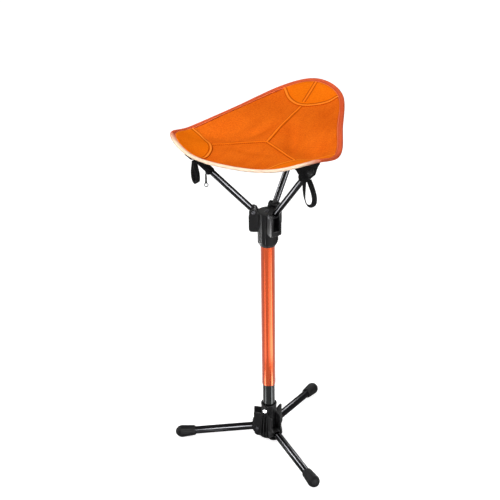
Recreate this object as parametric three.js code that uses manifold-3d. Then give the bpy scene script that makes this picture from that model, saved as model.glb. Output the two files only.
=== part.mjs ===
// Collapsible telescopic stool: a twist-locked post on three fold-up legs,
// with a three-armed head that holds a sewn seat. Millimetres, +Z up,
// the floor at z = 0, the sitter facing -Y and the high corner at the rear, +Y.
import * as THREE from "three";
import { mergeVertices } from "three/addons/utils/BufferGeometryUtils.js";
import Module from "manifold-3d";

const wasm = await Module();
wasm.setup();

// Clearances
const gap = 0.3;
const overrun = 5;

// Round sections, as numbers of sides
const tubeSides = 28;
const armSides = 18;
const pinSides = 12;

// Legs, measured from the pin along the leg
const legDroop = THREE.MathUtils.degToRad(6.3);
const legReach = 196.4;
const legDiameter = 16;
const legWall = 1.3;
const legTubeStart = 10;
const footLength = 42;
const footNeckRadius = 9.6;
const footRadius = 12.8;
const footTipRadius = 8.6;
const footRounding = 8.4;
const footSocket = 30;
const footFlat = 0.8;
const spigotLength = 15;

// Pins
const pinRadius = 2.5;
const pinHeadRadius = 4;
const pinHeadHeight = 1.5;

// Base hub
const coverThickness = 3;
const coverRadius = 22;
const coverLobeRadius = 13.5;
const coverLobeReach = 22;
const hubBelowPin = 15;
const hubFloor = 26;
const baseEarMargin = 8;
const baseEarTop = 41;
const baseEarWidth = 25;
const baseEarCorner = 5;
const legSlotWidth = 17;
const legSlotWall = 3.6;
const baseCoreRadius = 20;
const baseCoreHeight = 38;
const baseCollarRadius = 15.7;
const baseCollarTop = 59;
const baseCollarBead = 0.4;
const baseCollarBeadHeight = 3;

// Post
const outerTubeDiameter = 28;
const innerTubeDiameter = 25;
const tubeWall = 1.2;
const shownInnerTube = 50;
const outerTubeLength = 381;
const innerTubeLength = 337;
const tubeChamfer = 0.7;

// Snap button in the base collar, and the leaf spring behind it
const buttonRadius = 4.6;
const buttonProud = 2.6;
const buttonRounding = 0.9;
const buttonBelowCollarTop = 13.5;
const springWidth = 7;
const springThickness = 0.8;
const springDrop = 24;

// Twist lock in the tubes
const lockPlugDepth = 20;
const lockFlange = 2;
const studRadius = 3;
const studLength = 34;
const coneStart = 5;
const coneLength = 17;
const coneSmallRadius = 7;
const coneLargeRadius = 9.4;
const sleeveWall = 2.2;
const sleeveSlit = 2;
const lockNutHeight = 4;
const lockNutRadius = 6;

// Seat hub
const tubePlugLength = 20;
const seatHubOverlap = 57.7;
const seatHubRoof = 15;
const seatHubRadius = 19.35;
const seatHubMouthRadius = 15.5;
const seatHubChamfer = 7;
const seatHubEdge = 1.2;
const seatEarMargin = 9.5;
const seatEarBottom = 42;
const seatEarTop = 7;
const seatEarWidth = 22;
const seatEarCorner = 4;
const armSlotWidth = 13;
const armBossRadius = 7.5;
const screwRadius = 2;
const screwHeadRadius = 5;
const screwHeadHeight = 2.6;
const screwLength = 28;
const screwRecess = 1.2;

// Arms, measured from the pin along the arm
const armPinRadius = 26.3;
const armPinAboveHub = 1.2;
const armDiameter = 12;
const armWall = 1;
const armTubeStart = 9;
const armElevations = { rear: 50, left: 46, right: 48.7 };
const armLengths = { rear: 236, left: 192, right: 203 };
const capLength = 18;
const capWall = 1.3;
const capEnd = 4;

// Seat
const seatThickness = 3;
const frontCornerLift = 21.7;
const rearCornerLift = 19.4;
const frontOverhang = 19;
const rearOverhang = 16.7;
const frontCornerRise = 26.4;
const seatLean = THREE.MathUtils.degToRad(3.2);
const bindingDepth = 11.5;
const bindingWall = 1;
const bindingGap = 0.4;
const patchThickness = 1.3;
const patchGap = 0.6;
const patchDepths = { rear: 67.5, left: 71.5, right: 71.5 };
const patchRows = 5;
const patchSteps = 5;
const seatSteps = 5;

// Corner pockets, from a sleeve on the arm to a mouth sewn under the seat
const pocketSleeve = 37;
const pocketWall = 1.6;
const pocketSleeveWidth = 23;
const pocketWaistWidth = 32;
const pocketMouthWidth = 58;
const pocketMouthDepth = 36;
const pocketMouthReach = 4;
const pocketSides = 20;

// Pull loops, hung below the pockets' sleeves
const loopWidth = 9.5;
const loopThickness = 1.4;
const loopDrop = 56;
const loopSpread = 22;
const loopBacks = { rear: 27, left: 34, right: 26 };
const loopTilts = { rear: 10, left: -2, right: 20 };

// Zip tape, slider and pull on the left arm
const zipTapeLength = 42;
const zipTapeThickness = 1.2;
const zipTapeAngle = THREE.MathUtils.degToRad(290);
const sliderLength = 8;
const sliderWidth = 5;
const sliderHeight = 3.2;
const pullCordRadius = 1.4;
const pullCordLength = 19;
const pullRingRadius = 3.6;
const pullRingWire = 0.7;

// Azimuths of the three corners, with the rear one on +Y
const rearAzimuth = 90;
const cornerAngle = 360 / 3;
const azimuths = {
  rear: rearAzimuth,
  left: rearAzimuth + cornerAngle,
  right: rearAzimuth + 2 * cornerAngle,
};

// Heights and radii that follow from the sizes above
const innerRadius = innerTubeDiameter / 2;
const legRadius = legDiameter / 2;
const legPinRadius = innerRadius + gap + legSlotWall + 2 * gap + legRadius;
const legLength = (legReach - legPinRadius) / Math.cos(legDroop);
const footWidest = legLength - footRounding;
const legPinHeight =
  footWidest * Math.sin(legDroop) + footRadius * Math.cos(legDroop) - footFlat;
const hubBottom = legPinHeight - hubBelowPin;
const socketFloor = hubBottom + hubFloor;
const collarTop = legPinHeight + baseCollarTop;
const buttonHeight = collarTop - buttonBelowCollarTop;
const outerRadius = outerTubeDiameter / 2;
const outerBore = outerRadius - tubeWall;
const innerBore = innerRadius - tubeWall;
const innerTubeBottom = socketFloor + gap;
const innerTubeTop = innerTubeBottom + innerTubeLength;
const outerTubeBottom = collarTop + shownInnerTube;
const outerTubeTop = outerTubeBottom + outerTubeLength;
const seatHubBottom = outerTubeTop - seatHubOverlap;
const seatHubRoofFloor = outerTubeTop + gap;
const seatHubTop = seatHubRoofFloor + seatHubRoof;
const armPinHeight = seatHubTop + armPinAboveHub;
const baseEarReach = legPinRadius + baseEarMargin;
const seatEarReach = armPinRadius + seatEarMargin;
const legBore = legRadius - legWall;
const armRadius = armDiameter / 2;
const armBore = armRadius - armWall;
const pinHole = pinRadius + gap;

// Materials, by finish
const finish = (color, roughness, metalness) =>
  new THREE.MeshStandardMaterial({ color, roughness, metalness });
const blackPlastic = finish(0x1c1c1d, 0.55, 0);
const blackTube = finish(0x1a1a1b, 0.35, 0.6);
const orangeTube = finish(0xc9531f, 0.32, 0.6);
const rubber = finish(0x2b2b2c, 0.8, 0);
const steel = finish(0xb9b9bb, 0.3, 1);
const darkSteel = finish(0x3a3a3c, 0.4, 1);
const orangeFabric = finish(0xeb6a17, 0.85, 0);
const salmonTape = finish(0xe0714f, 0.8, 0);
const blackFabric = finish(0x18181a, 0.9, 0);
const nylon = finish(0xd8d6cf, 0.6, 0);

// A closed mesh with shared vertices, facing out, as a solid that can be joined and cut
function solidOf(geometry) {
  const bare = geometry.clone();
  for (const name of Object.keys(bare.attributes)) {
    if (name !== "position") {
      bare.deleteAttribute(name);
    }
  }
  const welded = mergeVertices(bare, 1e-4);
  const position = welded.getAttribute("position").array;
  const index = welded.getIndex().array;
  const triangles = [];
  for (let i = 0; i < index.length; i += 3) {
    const [a, b, c] = index.slice(i, i + 3);
    if (a !== b && b !== c && c !== a) {
      triangles.push([a, b, c]);
    }
  }
  const corner = (k) => new THREE.Vector3().fromArray(position, 3 * k);
  const volume = triangles.reduce(
    (sum, [a, b, c]) => sum + corner(a).dot(corner(b).cross(corner(c))),
    0,
  );
  const facingOut = triangles.map(([a, b, c]) => (volume < 0 ? [a, c, b] : [a, b, c]));
  return new wasm.Manifold(
    new wasm.Mesh({
      numProp: 3,
      vertProperties: new Float32Array(position),
      triVerts: new Uint32Array(facingOut.flat()),
    }),
  );
}

function geometryOf(solid) {
  const mesh = solid.getMesh();
  const geometry = new THREE.BufferGeometry();
  geometry.setAttribute("position", new THREE.BufferAttribute(mesh.vertProperties, 3));
  geometry.setIndex(new THREE.BufferAttribute(mesh.triVerts, 1));
  geometry.computeVertexNormals();
  return geometry;
}

function piece(name, solid, material) {
  const mesh = new THREE.Mesh(geometryOf(solid), material);
  mesh.name = name;
  return mesh;
}

const joined = (...solids) => solids.reduce((a, b) => a.add(b));

// A profile of [radius, height] pairs turned about the Z axis
function turned(profile, sides = tubeSides) {
  const points = profile.map(([radius, height]) => new THREE.Vector2(radius, height));
  return new THREE.LatheGeometry(points, sides).rotateX(Math.PI / 2);
}

const rod = (radius, bottom, top, sides = tubeSides) =>
  turned(
    [
      [0, bottom],
      [radius, bottom],
      [radius, top],
      [0, top],
    ],
    sides,
  );

const pipe = (bore, radius, bottom, top, sides = tubeSides) =>
  turned(
    [
      [bore, bottom],
      [radius, bottom],
      [radius, top],
      [bore, top],
      [bore, bottom],
    ],
    sides,
  );

// Turns a geometry made along +Z so that it lies across the radial plane, along Y
const across = (geometry) => geometry.rotateX(-Math.PI / 2);

// An outline in the radial plane, [outward, up], given a width across it
function cheek(outline, width) {
  const shape = new THREE.Shape(outline.map(([x, z]) => new THREE.Vector2(x, z)));
  return new THREE.ExtrudeGeometry(shape, { depth: width, bevelEnabled: false })
    .rotateX(Math.PI / 2)
    .translate(0, width / 2, 0);
}

// Places a geometry made along +Z at a pin, pointing outward and up by an angle
function alongLimb(geometry, radius, height, elevation) {
  return geometry
    .rotateY(Math.PI / 2)
    .rotateY(-elevation)
    .translate(radius, 0, height);
}

const onLeg = (geometry) => alongLimb(geometry, legPinRadius, legPinHeight, -legDroop);

const radians = (side, angles) => THREE.MathUtils.degToRad(angles[side]);
const onArm = (side, geometry) =>
  alongLimb(geometry, armPinRadius, armPinHeight, radians(side, armElevations));

const aroundPost = (make) =>
  joined(
    ...Object.keys(azimuths).map((side) => solidOf(make().rotateZ(radians(side, azimuths)))),
  );

// A closed skin through sections that have the same number of points
function loft(sections, ring = false) {
  const count = sections[0].length;
  const points = sections.flat();
  const faces = [];
  const last = ring ? sections.length : sections.length - 1;
  for (let i = 0; i < last; i += 1) {
    for (let j = 0; j < count; j += 1) {
      const a = i * count + j;
      const b = i * count + ((j + 1) % count);
      const c = ((i + 1) % sections.length) * count + ((j + 1) % count);
      const d = ((i + 1) % sections.length) * count + j;
      faces.push(a, b, c, a, c, d);
    }
  }
  if (!ring) {
    for (const [start, flip] of [
      [0, true],
      [(sections.length - 1) * count, false],
    ]) {
      const middle = points.length;
      const centre = new THREE.Vector3();
      sections[start / count].forEach((p) => centre.addScaledVector(p, 1 / count));
      points.push(centre);
      for (let j = 0; j < count; j += 1) {
        const edge = [start + j, start + ((j + 1) % count)];
        faces.push(middle, ...(flip ? edge.reverse() : edge));
      }
    }
  }
  return skin(points, faces);
}

function skin(points, faces) {
  const geometry = new THREE.BufferGeometry();
  geometry.setAttribute(
    "position",
    new THREE.Float32BufferAttribute(points.flatMap((p) => p.toArray()), 3),
  );
  geometry.setIndex(faces);
  return geometry;
}

// A sheet of some thickness: pointAt(i, j, face) for face 0, below, and 1, above
function sheet(rows, columns, pointAt) {
  const points = [];
  for (const face of [0, 1]) {
    for (let i = 0; i <= rows; i += 1) {
      for (let j = 0; j <= columns; j += 1) {
        points.push(pointAt(i, j, face));
      }
    }
  }
  const at = (i, j, face) => (face * (rows + 1) + i) * (columns + 1) + j;
  const faces = [];
  const quad = (a, b, c, d) => faces.push(a, b, c, a, c, d);
  for (let i = 0; i < rows; i += 1) {
    for (let j = 0; j < columns; j += 1) {
      quad(at(i, j, 1), at(i + 1, j, 1), at(i + 1, j + 1, 1), at(i, j + 1, 1));
      quad(at(i, j, 0), at(i, j + 1, 0), at(i + 1, j + 1, 0), at(i + 1, j, 0));
    }
  }
  for (let i = 0; i < rows; i += 1) {
    quad(at(i, 0, 0), at(i + 1, 0, 0), at(i + 1, 0, 1), at(i, 0, 1));
    quad(at(i, columns, 0), at(i, columns, 1), at(i + 1, columns, 1), at(i + 1, columns, 0));
  }
  for (let j = 0; j < columns; j += 1) {
    quad(at(0, j, 0), at(0, j, 1), at(0, j + 1, 1), at(0, j + 1, 0));
    quad(at(rows, j, 0), at(rows, j + 1, 0), at(rows, j + 1, 1), at(rows, j, 1));
  }
  return skin(points, faces);
}

// Base hub: collar and socket for the post, with a slot between two cheeks for each leg
function baseHub() {
  const slotDepth = legRadius + gap;
  const slotBack = legPinRadius - legRadius - 2 * gap;
  const slotFloor = (x) =>
    legPinHeight - (x - legPinRadius) * Math.tan(legDroop) - slotDepth / Math.cos(legDroop);
  const earTop = legPinHeight + baseEarTop;
  const core = turned([
    [0, hubBottom],
    [baseCoreRadius, hubBottom],
    [baseCoreRadius, legPinHeight + baseCoreHeight],
    [baseCollarRadius, legPinHeight + baseCoreHeight + baseCoreRadius - baseCollarRadius],
    [baseCollarRadius, collarTop - baseCollarBeadHeight],
    [baseCollarRadius + baseCollarBead, collarTop - baseCollarBeadHeight],
    [baseCollarRadius + baseCollarBead, collarTop - baseCollarBead],
    [baseCollarRadius, collarTop],
    [innerRadius + gap, collarTop],
    [innerRadius + gap, socketFloor],
    [0, socketFloor],
  ]);
  const ear = () =>
    cheek(
      [
        [innerRadius + tubeWall, hubBottom],
        [baseEarReach - baseEarCorner / 2, hubBottom],
        [baseEarReach, hubBottom + baseEarCorner / 2],
        [baseEarReach, earTop - baseEarCorner],
        [baseEarReach - baseEarCorner, earTop],
        [innerRadius + tubeWall, earTop],
      ],
      baseEarWidth,
    );
  const slot = () =>
    cheek(
      [
        [slotBack, slotFloor(slotBack)],
        [baseEarReach + overrun, slotFloor(baseEarReach + overrun)],
        [baseEarReach + overrun, collarTop],
        [slotBack, collarTop],
      ],
      legSlotWidth,
    );
  const pinBore = () =>
    across(rod(pinHole, -baseEarWidth, baseEarWidth, pinSides)).translate(
      legPinRadius,
      0,
      legPinHeight,
    );
  const buttonBore = across(
    rod(buttonRadius + gap, 0, baseCollarRadius + overrun, pinSides),
  ).translate(0, 0, buttonHeight);
  const screwBore = rod(
    screwRadius + gap,
    hubBottom - overrun,
    hubBottom + screwLength - coverThickness,
    pinSides,
  );
  return joined(solidOf(core), aroundPost(ear))
    .subtract(aroundPost(slot))
    .subtract(aroundPost(pinBore))
    .subtract(solidOf(rod(innerRadius + gap, socketFloor, collarTop + overrun)))
    .subtract(solidOf(buttonBore.rotateZ(Math.PI)))
    .subtract(solidOf(screwBore));
}

// Base cover: a lobed plate under the hub, one lobe below each leg root
function baseCover() {
  const top = hubBottom - gap;
  const bottom = top - coverThickness;
  const lobe = () =>
    rod(coverLobeRadius, bottom, top).translate(coverLobeReach, 0, 0);
  const recess = rod(screwHeadRadius + gap, bottom - overrun, bottom + screwRecess, pinSides);
  const hole = rod(screwRadius + gap, bottom - overrun, top + overrun, pinSides);
  return joined(solidOf(rod(coverRadius, bottom, top)), aroundPost(lobe))
    .subtract(solidOf(recess))
    .subtract(solidOf(hole));
}

// A cross-recessed pan head screw whose head's underside is at z = 0, pointing down
function screw(length) {
  const body = turned(
    [
      [0, -length],
      [screwRadius, -length],
      [screwRadius, 0],
      [screwHeadRadius, 0],
      [screwHeadRadius, screwHeadHeight / 2],
      [screwHeadRadius - screwHeadHeight / 2, screwHeadHeight],
      [0, screwHeadHeight],
    ],
    pinSides,
  );
  const bar = (turn) =>
    solidOf(
      new THREE.BoxGeometry(screwHeadRadius, screwRadius / 2, screwHeadHeight)
        .translate(0, 0, screwHeadHeight)
        .rotateZ(turn),
    );
  return solidOf(body).subtract(joined(bar(0), bar(Math.PI / 2)));
}

// A pin across the radial plane with a rivet head at each end
function pin(width, radius, height) {
  const half = width / 2 + gap;
  const head = half + pinHeadHeight;
  const profile = turned(
    [
      [0, -head],
      [pinHeadRadius - pinHeadHeight / 2, -head],
      [pinHeadRadius, -half - pinHeadHeight / 2],
      [pinHeadRadius, -half],
      [pinRadius, -half],
      [pinRadius, half],
      [pinHeadRadius, half],
      [pinHeadRadius, half + pinHeadHeight / 2],
      [pinHeadRadius - pinHeadHeight / 2, head],
      [0, head],
    ],
    pinSides,
  );
  return solidOf(across(profile).translate(radius, 0, height));
}

// A limb's root: an eye on the pin, a collar and a spigot inside the tube
function root(radius, bore, start, width, place) {
  const eye = across(rod(radius, -width / 2, width / 2, armSides));
  const collar = rod(radius - gap, 0, start - gap, armSides);
  const spigot = rod(bore - gap, 0, start + spigotLength, armSides);
  const hole = across(rod(pinHole, -width, width, pinSides));
  return joined(...[eye, collar, spigot].map((form) => solidOf(place(form)))).subtract(
    solidOf(place(hole)),
  );
}

const legRoot = () =>
  root(legRadius, legBore, legTubeStart, legSlotWidth - 2 * gap, onLeg);

const legTubeEnd = legLength - footLength + footSocket;
const legTube = () =>
  solidOf(onLeg(pipe(legBore, legRadius, legTubeStart, legTubeEnd - gap, armSides)));

// Rubber foot: a tapered boot over the leg's end, cut flat where it stands
function legFoot() {
  const start = legLength - footLength;
  const boot = turned(
    [
      [legRadius + gap, start],
      [footNeckRadius, start],
      [footRadius, footWidest],
      [(footRadius + footTipRadius) / 2 + footFlat, legLength - footRounding / 3],
      [footTipRadius, legLength],
      [0, legLength],
      [0, legTubeEnd],
      [legRadius + gap, legTubeEnd],
      [legRadius + gap, start],
    ],
    tubeSides,
  );
  const floor = new THREE.BoxGeometry(legReach, legReach, overrun).translate(
    legReach,
    0,
    -overrun / 2,
  );
  return solidOf(onLeg(boot)).subtract(solidOf(floor));
}

// Inner tube, with the hole that the snap button comes through
function innerTube() {
  const hole = across(rod(buttonRadius + gap, 0, outerRadius, pinSides))
    .rotateZ(Math.PI)
    .translate(0, 0, buttonHeight);
  return solidOf(pipe(innerBore, innerRadius, innerTubeBottom, innerTubeTop)).subtract(
    solidOf(hole),
  );
}

const outerTube = () =>
  solidOf(
    turned([
      [outerBore, outerTubeBottom],
      [outerRadius - tubeChamfer, outerTubeBottom],
      [outerRadius, outerTubeBottom + tubeChamfer],
      [outerRadius, outerTubeTop],
      [outerBore, outerTubeTop],
      [outerBore, outerTubeBottom],
    ]),
  );

const buttonInner = innerBore - 2 * springThickness - gap;
const buttonOuter = baseCollarRadius + buttonProud;

function snapButton() {
  const profile = turned(
    [
      [0, buttonInner],
      [buttonRadius, buttonInner],
      [buttonRadius, buttonOuter - buttonRounding],
      [buttonRadius - buttonRounding, buttonOuter],
      [0, buttonOuter],
    ],
    armSides,
  );
  return solidOf(across(profile).rotateZ(Math.PI).translate(0, 0, buttonHeight));
}

// Leaf spring: a strip that goes down from the button, round and up the far wall
function snapSpring() {
  const front = buttonInner - gap;
  const back = Math.sqrt(innerBore ** 2 - (springWidth / 2) ** 2) - 2 * gap;
  const top = buttonHeight + buttonRadius;
  const bottom = buttonHeight - springDrop;
  const bend = (front + back) / 2;
  const middle = (back - front) / 2;
  const path = new THREE.Shape();
  path.moveTo(-front, top);
  path.lineTo(-front, bottom);
  path.absarc(middle, bottom, bend, Math.PI, 2 * Math.PI, false);
  path.lineTo(back, top);
  path.lineTo(back - springThickness, top);
  path.lineTo(back - springThickness, bottom);
  path.absarc(middle, bottom, bend - springThickness, 2 * Math.PI, Math.PI, true);
  path.lineTo(-front + springThickness, top);
  const strip = new THREE.ExtrudeGeometry(path, {
    depth: springWidth,
    bevelEnabled: false,
    curveSegments: 8,
  });
  return solidOf(
    strip.rotateX(Math.PI / 2).rotateZ(Math.PI / 2).translate(-springWidth / 2, 0, 0),
  );
}

// Twist lock: a plug with a stud, a cone on the stud, a split sleeve and a nut
const lockBase = innerTubeTop + gap;
const coneBottom = lockBase + lockFlange + coneStart;
const coneTop = coneBottom + coneLength;
const studTop = lockBase + lockFlange + studLength;

const lockPlug = () =>
  solidOf(
    turned([
      [0, innerTubeTop - lockPlugDepth],
      [innerBore - gap, innerTubeTop - lockPlugDepth],
      [innerBore - gap, lockBase],
      [innerRadius - gap, lockBase],
      [innerRadius - gap, lockBase + lockFlange],
      [studRadius, lockBase + lockFlange],
      [studRadius, studTop],
      [0, studTop],
    ]),
  );

const lockCone = () =>
  solidOf(
    turned([
      [studRadius + gap, coneBottom],
      [coneSmallRadius, coneBottom],
      [coneLargeRadius, coneTop],
      [studRadius + gap, coneTop],
      [studRadius + gap, coneBottom],
    ]),
  );

function lockSleeve() {
  const outside = outerBore - gap;
  const ring = turned([
    [coneSmallRadius + gap, coneBottom],
    [outside, coneBottom],
    [outside, coneTop],
    [coneLargeRadius + gap, coneTop],
    [coneSmallRadius + gap, coneBottom],
  ]);
  const slit = new THREE.BoxGeometry(outerBore, sleeveSlit, coneLength * 2).translate(
    outerBore / 2 + studRadius,
    0,
    coneTop,
  );
  return solidOf(ring).subtract(solidOf(slit));
}

const lockNut = () =>
  solidOf(rod(lockNutRadius, studTop - lockNutHeight, studTop, 6)).subtract(
    solidOf(rod(studRadius + gap, coneTop, studTop + overrun)),
  );

const tubePlug = () =>
  solidOf(
    pipe(screwRadius + gap, outerBore - gap, outerTubeTop - tubePlugLength, outerTubeTop),
  );

// Seat hub: cap over the outer tube, with a slot between two cheeks for each arm
function seatHub() {
  const slotBack = armPinRadius - armRadius - 2 * gap;
  const earBottom = seatHubTop - seatEarBottom;
  const earTop = seatHubTop - seatEarTop;
  const core = turned([
    [outerRadius + gap, seatHubBottom],
    [seatHubMouthRadius, seatHubBottom],
    [seatHubRadius, seatHubBottom + seatHubChamfer],
    [seatHubRadius, seatHubTop - seatHubEdge],
    [seatHubRadius - seatHubEdge, seatHubTop],
    [screwHeadRadius + gap, seatHubTop],
    [screwHeadRadius + gap, seatHubTop - screwRecess],
    [screwRadius + gap, seatHubTop - screwRecess],
    [screwRadius + gap, seatHubRoofFloor],
    [outerRadius + gap, seatHubRoofFloor],
    [outerRadius + gap, seatHubBottom],
  ]);
  const ear = () =>
    cheek(
      [
        [seatHubMouthRadius, earBottom],
        [seatEarReach - seatEarCorner, earBottom],
        [seatEarReach, earBottom + seatEarCorner],
        [seatEarReach, earTop],
        [armPinRadius + armBossRadius, armPinHeight],
        [armPinRadius, armPinHeight],
        [seatHubMouthRadius, seatHubTop - seatHubEdge],
      ],
      seatEarWidth,
    );
  const boss = () =>
    across(rod(armBossRadius, -seatEarWidth / 2, seatEarWidth / 2, armSides)).translate(
      armPinRadius,
      0,
      armPinHeight,
    );
  const slot = () =>
    cheek(
      [
        [slotBack, seatHubBottom],
        [seatEarReach + overrun, seatHubBottom],
        [seatEarReach + overrun, seatHubTop + seatEarBottom],
        [slotBack, seatHubTop + seatEarBottom],
      ],
      armSlotWidth,
    );
  const pinBore = () =>
    across(rod(pinHole, -seatEarWidth, seatEarWidth, pinSides)).translate(
      armPinRadius,
      0,
      armPinHeight,
    );
  return joined(solidOf(core), aroundPost(ear), aroundPost(boss))
    .subtract(aroundPost(slot))
    .subtract(aroundPost(pinBore))
    .subtract(solidOf(rod(outerRadius + gap, seatHubBottom - overrun, seatHubRoofFloor)));
}

const armRoot = (side) =>
  root(armRadius, armBore, armTubeStart, armSlotWidth - 2 * gap, (g) => onArm(side, g));

const armTube = (side) =>
  solidOf(
    onArm(
      side,
      pipe(armBore, armRadius, armTubeStart, armLengths[side] - capEnd - gap, armSides),
    ),
  );

// Rounded plastic cap on the arm's end, inside the corner pocket
function armCap(side) {
  const end = armLengths[side];
  const radius = armRadius + gap + capWall;
  return solidOf(
    onArm(
      side,
      turned(
        [
          [armRadius + gap, end - capLength],
          [radius, end - capLength],
          [radius, end - capEnd],
          [radius * 0.7, end - capEnd / 4],
          [0, end],
          [0, end - capEnd],
          [armRadius + gap, end - capEnd],
          [armRadius + gap, end - capLength],
        ],
        armSides,
      ),
    ),
  );
}

// Where each arm ends: reach from the post's axis, and height
const armEnd = (side) => ({
  reach: armPinRadius + armLengths[side] * Math.cos(radians(side, armElevations)),
  height: armPinHeight + armLengths[side] * Math.sin(radians(side, armElevations)),
});

// Seat surface: twelve stations round the rim, starting at the rear corner and going
// anticlockwise from above. Each has the angle from the rear, the reach as a share of the
// corners' reach, and the rise as shares of the corners' rise at four places out to the rim.
const ends = { rear: armEnd("rear"), left: armEnd("left"), right: armEnd("right") };
const frontEndHeight = (ends.left.height + ends.right.height) / 2;
const seatCentreHeight = frontEndHeight + frontCornerLift - frontCornerRise;
const rearCornerRise = ends.rear.height + rearCornerLift - seatCentreHeight;
const frontCornerReach = (ends.left.reach + ends.right.reach) / 2 + frontOverhang;
const rearCornerReach = ends.rear.reach + rearOverhang;
const middleOf = (a, b) => (a + b) / 2;
const ringShares = [0, 0.35, 0.65, 0.85, 1];
const stationShares = {
  rearCorner: { turn: 0, reach: 1, rises: [0.28, 0.44, 0.74, 1] },
  rearShoulder: { turn: 20.7, reach: 0.941, rises: [0.2, 0.36, 0.5, 0.77] },
  side: { turn: 60, reach: 0.749, rises: [0.07, 0.25, 0.5, 0.55] },
  outerShoulder: { turn: 96.2, reach: 0.915, rises: [-0.05, -0.21, 0.17, 0.42] },
  frontCorner: { turn: 120, reach: 1, rises: [0, 0.03, 0.44, 1] },
  innerShoulder: { turn: 146, reach: 0.879, rises: [-0.04, -0.06, 0.05, 0.44] },
  front: { turn: 180, reach: 0.812, rises: [-0.13, -0.17, 0.06, 0.39] },
};

// How many stations a corner patch spans, clockwise and anticlockwise of its corner
const patchSpanShares = { rear: [1, 1], left: [1, 1.27], right: [1.27, 1] };

function station(name, turn, reach, rise) {
  const { reach: share, rises } = stationShares[name];
  const azimuth = THREE.MathUtils.degToRad(azimuths.rear + turn * stationShares[name].turn);
  return [
    share * reach * Math.cos(azimuth),
    share * reach * Math.sin(azimuth),
    ...rises.map((s) => s * rise),
  ];
}

function halfRim(turn) {
  const sideReach = middleOf(rearCornerReach, frontCornerReach);
  const sideRise = middleOf(rearCornerRise, frontCornerRise);
  return [
    station("rearShoulder", turn, rearCornerReach, rearCornerRise),
    station("side", turn, sideReach, sideRise),
    station("outerShoulder", turn, frontCornerReach, frontCornerRise),
    station("frontCorner", turn, frontCornerReach, frontCornerRise),
    station("innerShoulder", turn, frontCornerReach, frontCornerRise),
  ];
}

const rim = [
  station("rearCorner", 1, rearCornerReach, rearCornerRise),
  ...halfRim(1),
  station("front", 1, frontCornerReach, frontCornerRise),
  ...halfRim(-1).reverse(),
];
const stations = rim.length;
const stationOf = { rear: 0, left: stations / 3, right: (2 * stations) / 3 };

// One value at u stations round the rim, on a smooth curve through the stations' values
function roundRim(k, u) {
  const i = Math.floor(u);
  const f = u - i;
  const value = (j) => rim[(((i + j) % stations) + stations) % stations][k];
  const [a, b, c, d] = [value(-1), value(0), value(1), value(2)];
  return b + (f / 2) * (c - a + f * (2 * a - 5 * b + 4 * c - d + f * (3 * (b - c) + d - a)));
}

// The rise at share t of the way out, on a smooth curve through the rings' values
function riseAt(u, t) {
  const values = [0, ...ringShares.slice(1).map((_, k) => roundRim(k + 2, u))];
  const last = ringShares.length - 1;
  const chord = (i) => (values[i + 1] - values[i]) / (ringShares[i + 1] - ringShares[i]);
  const slope = (i) => {
    if (i === 0) {
      return chord(0);
    }
    return i === last ? chord(last - 1) : middleOf(chord(i - 1), chord(i));
  };
  if (t >= 1) {
    return values[last] + slope(last) * (t - 1);
  }
  const i = ringShares.findIndex((_, k) => t < ringShares[k + 1]);
  const span = ringShares[i + 1] - ringShares[i];
  const f = (t - ringShares[i]) / span;
  return (
    values[i] * (1 + 2 * f) * (1 - f) ** 2 +
    values[i + 1] * f * f * (3 - 2 * f) +
    slope(i) * span * f * (1 - f) ** 2 -
    slope(i + 1) * span * f * f * (1 - f)
  );
}

// A point of the seat's middle surface, at station u and share t of the way out
function seatPoint(u, t) {
  const x = t * roundRim(0, u);
  const y = t * roundRim(1, u);
  return new THREE.Vector3(x, y, seatCentreHeight + riseAt(u, t) + x * Math.tan(seatLean));
}

const small = 1e-3;
function outwardAt(u, t) {
  return seatPoint(u, t + small).sub(seatPoint(u, t - small)).divideScalar(2 * small);
}

function seatNormal(u, t) {
  if (t < 2 * small) {
    return new THREE.Vector3(0, 0, 1);
  }
  const round = seatPoint(u + small, t).sub(seatPoint(u - small, t));
  return outwardAt(u, t).cross(round).normalize();
}

const lifted = (u, t, lift) => seatPoint(u, t).addScaledVector(seatNormal(u, t), lift);
const shareAtInset = (u, inset) => 1 - inset / outwardAt(u, 1).length();

const panelEdge = bindingWall + gap;
const panelShares = [0, 0.12, 0.24, 0.36, 0.48, 0.58, 0.67, 0.75, 0.82, 0.88];
const panelRings = panelShares.length + 3;
function panelShare(u, j) {
  const insets = [bindingDepth + gap, bindingDepth / 2, panelEdge];
  return j < panelShares.length
    ? panelShares[j]
    : shareAtInset(u, insets[j - panelShares.length]);
}

// One seat panel, from a seam to the next one, with the gap that touching pieces keep
function seatPanel(side) {
  const start = stationOf[side];
  const columns = (stations / 3) * seatSteps;
  const bisector = THREE.MathUtils.degToRad(azimuths[side] + cornerAngle / 2);
  const shift = gap / 2 / Math.sin(Math.PI / 3);
  const away = new THREE.Vector3(Math.cos(bisector), Math.sin(bisector), 0);
  return solidOf(
    sheet(columns, panelRings - 1, (i, j, face) => {
      const u = start + i / seatSteps;
      const lift = (face - 0.5) * seatThickness;
      return lifted(u, panelShare(u, j), lift).addScaledVector(away, shift);
    }),
  );
}

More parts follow.
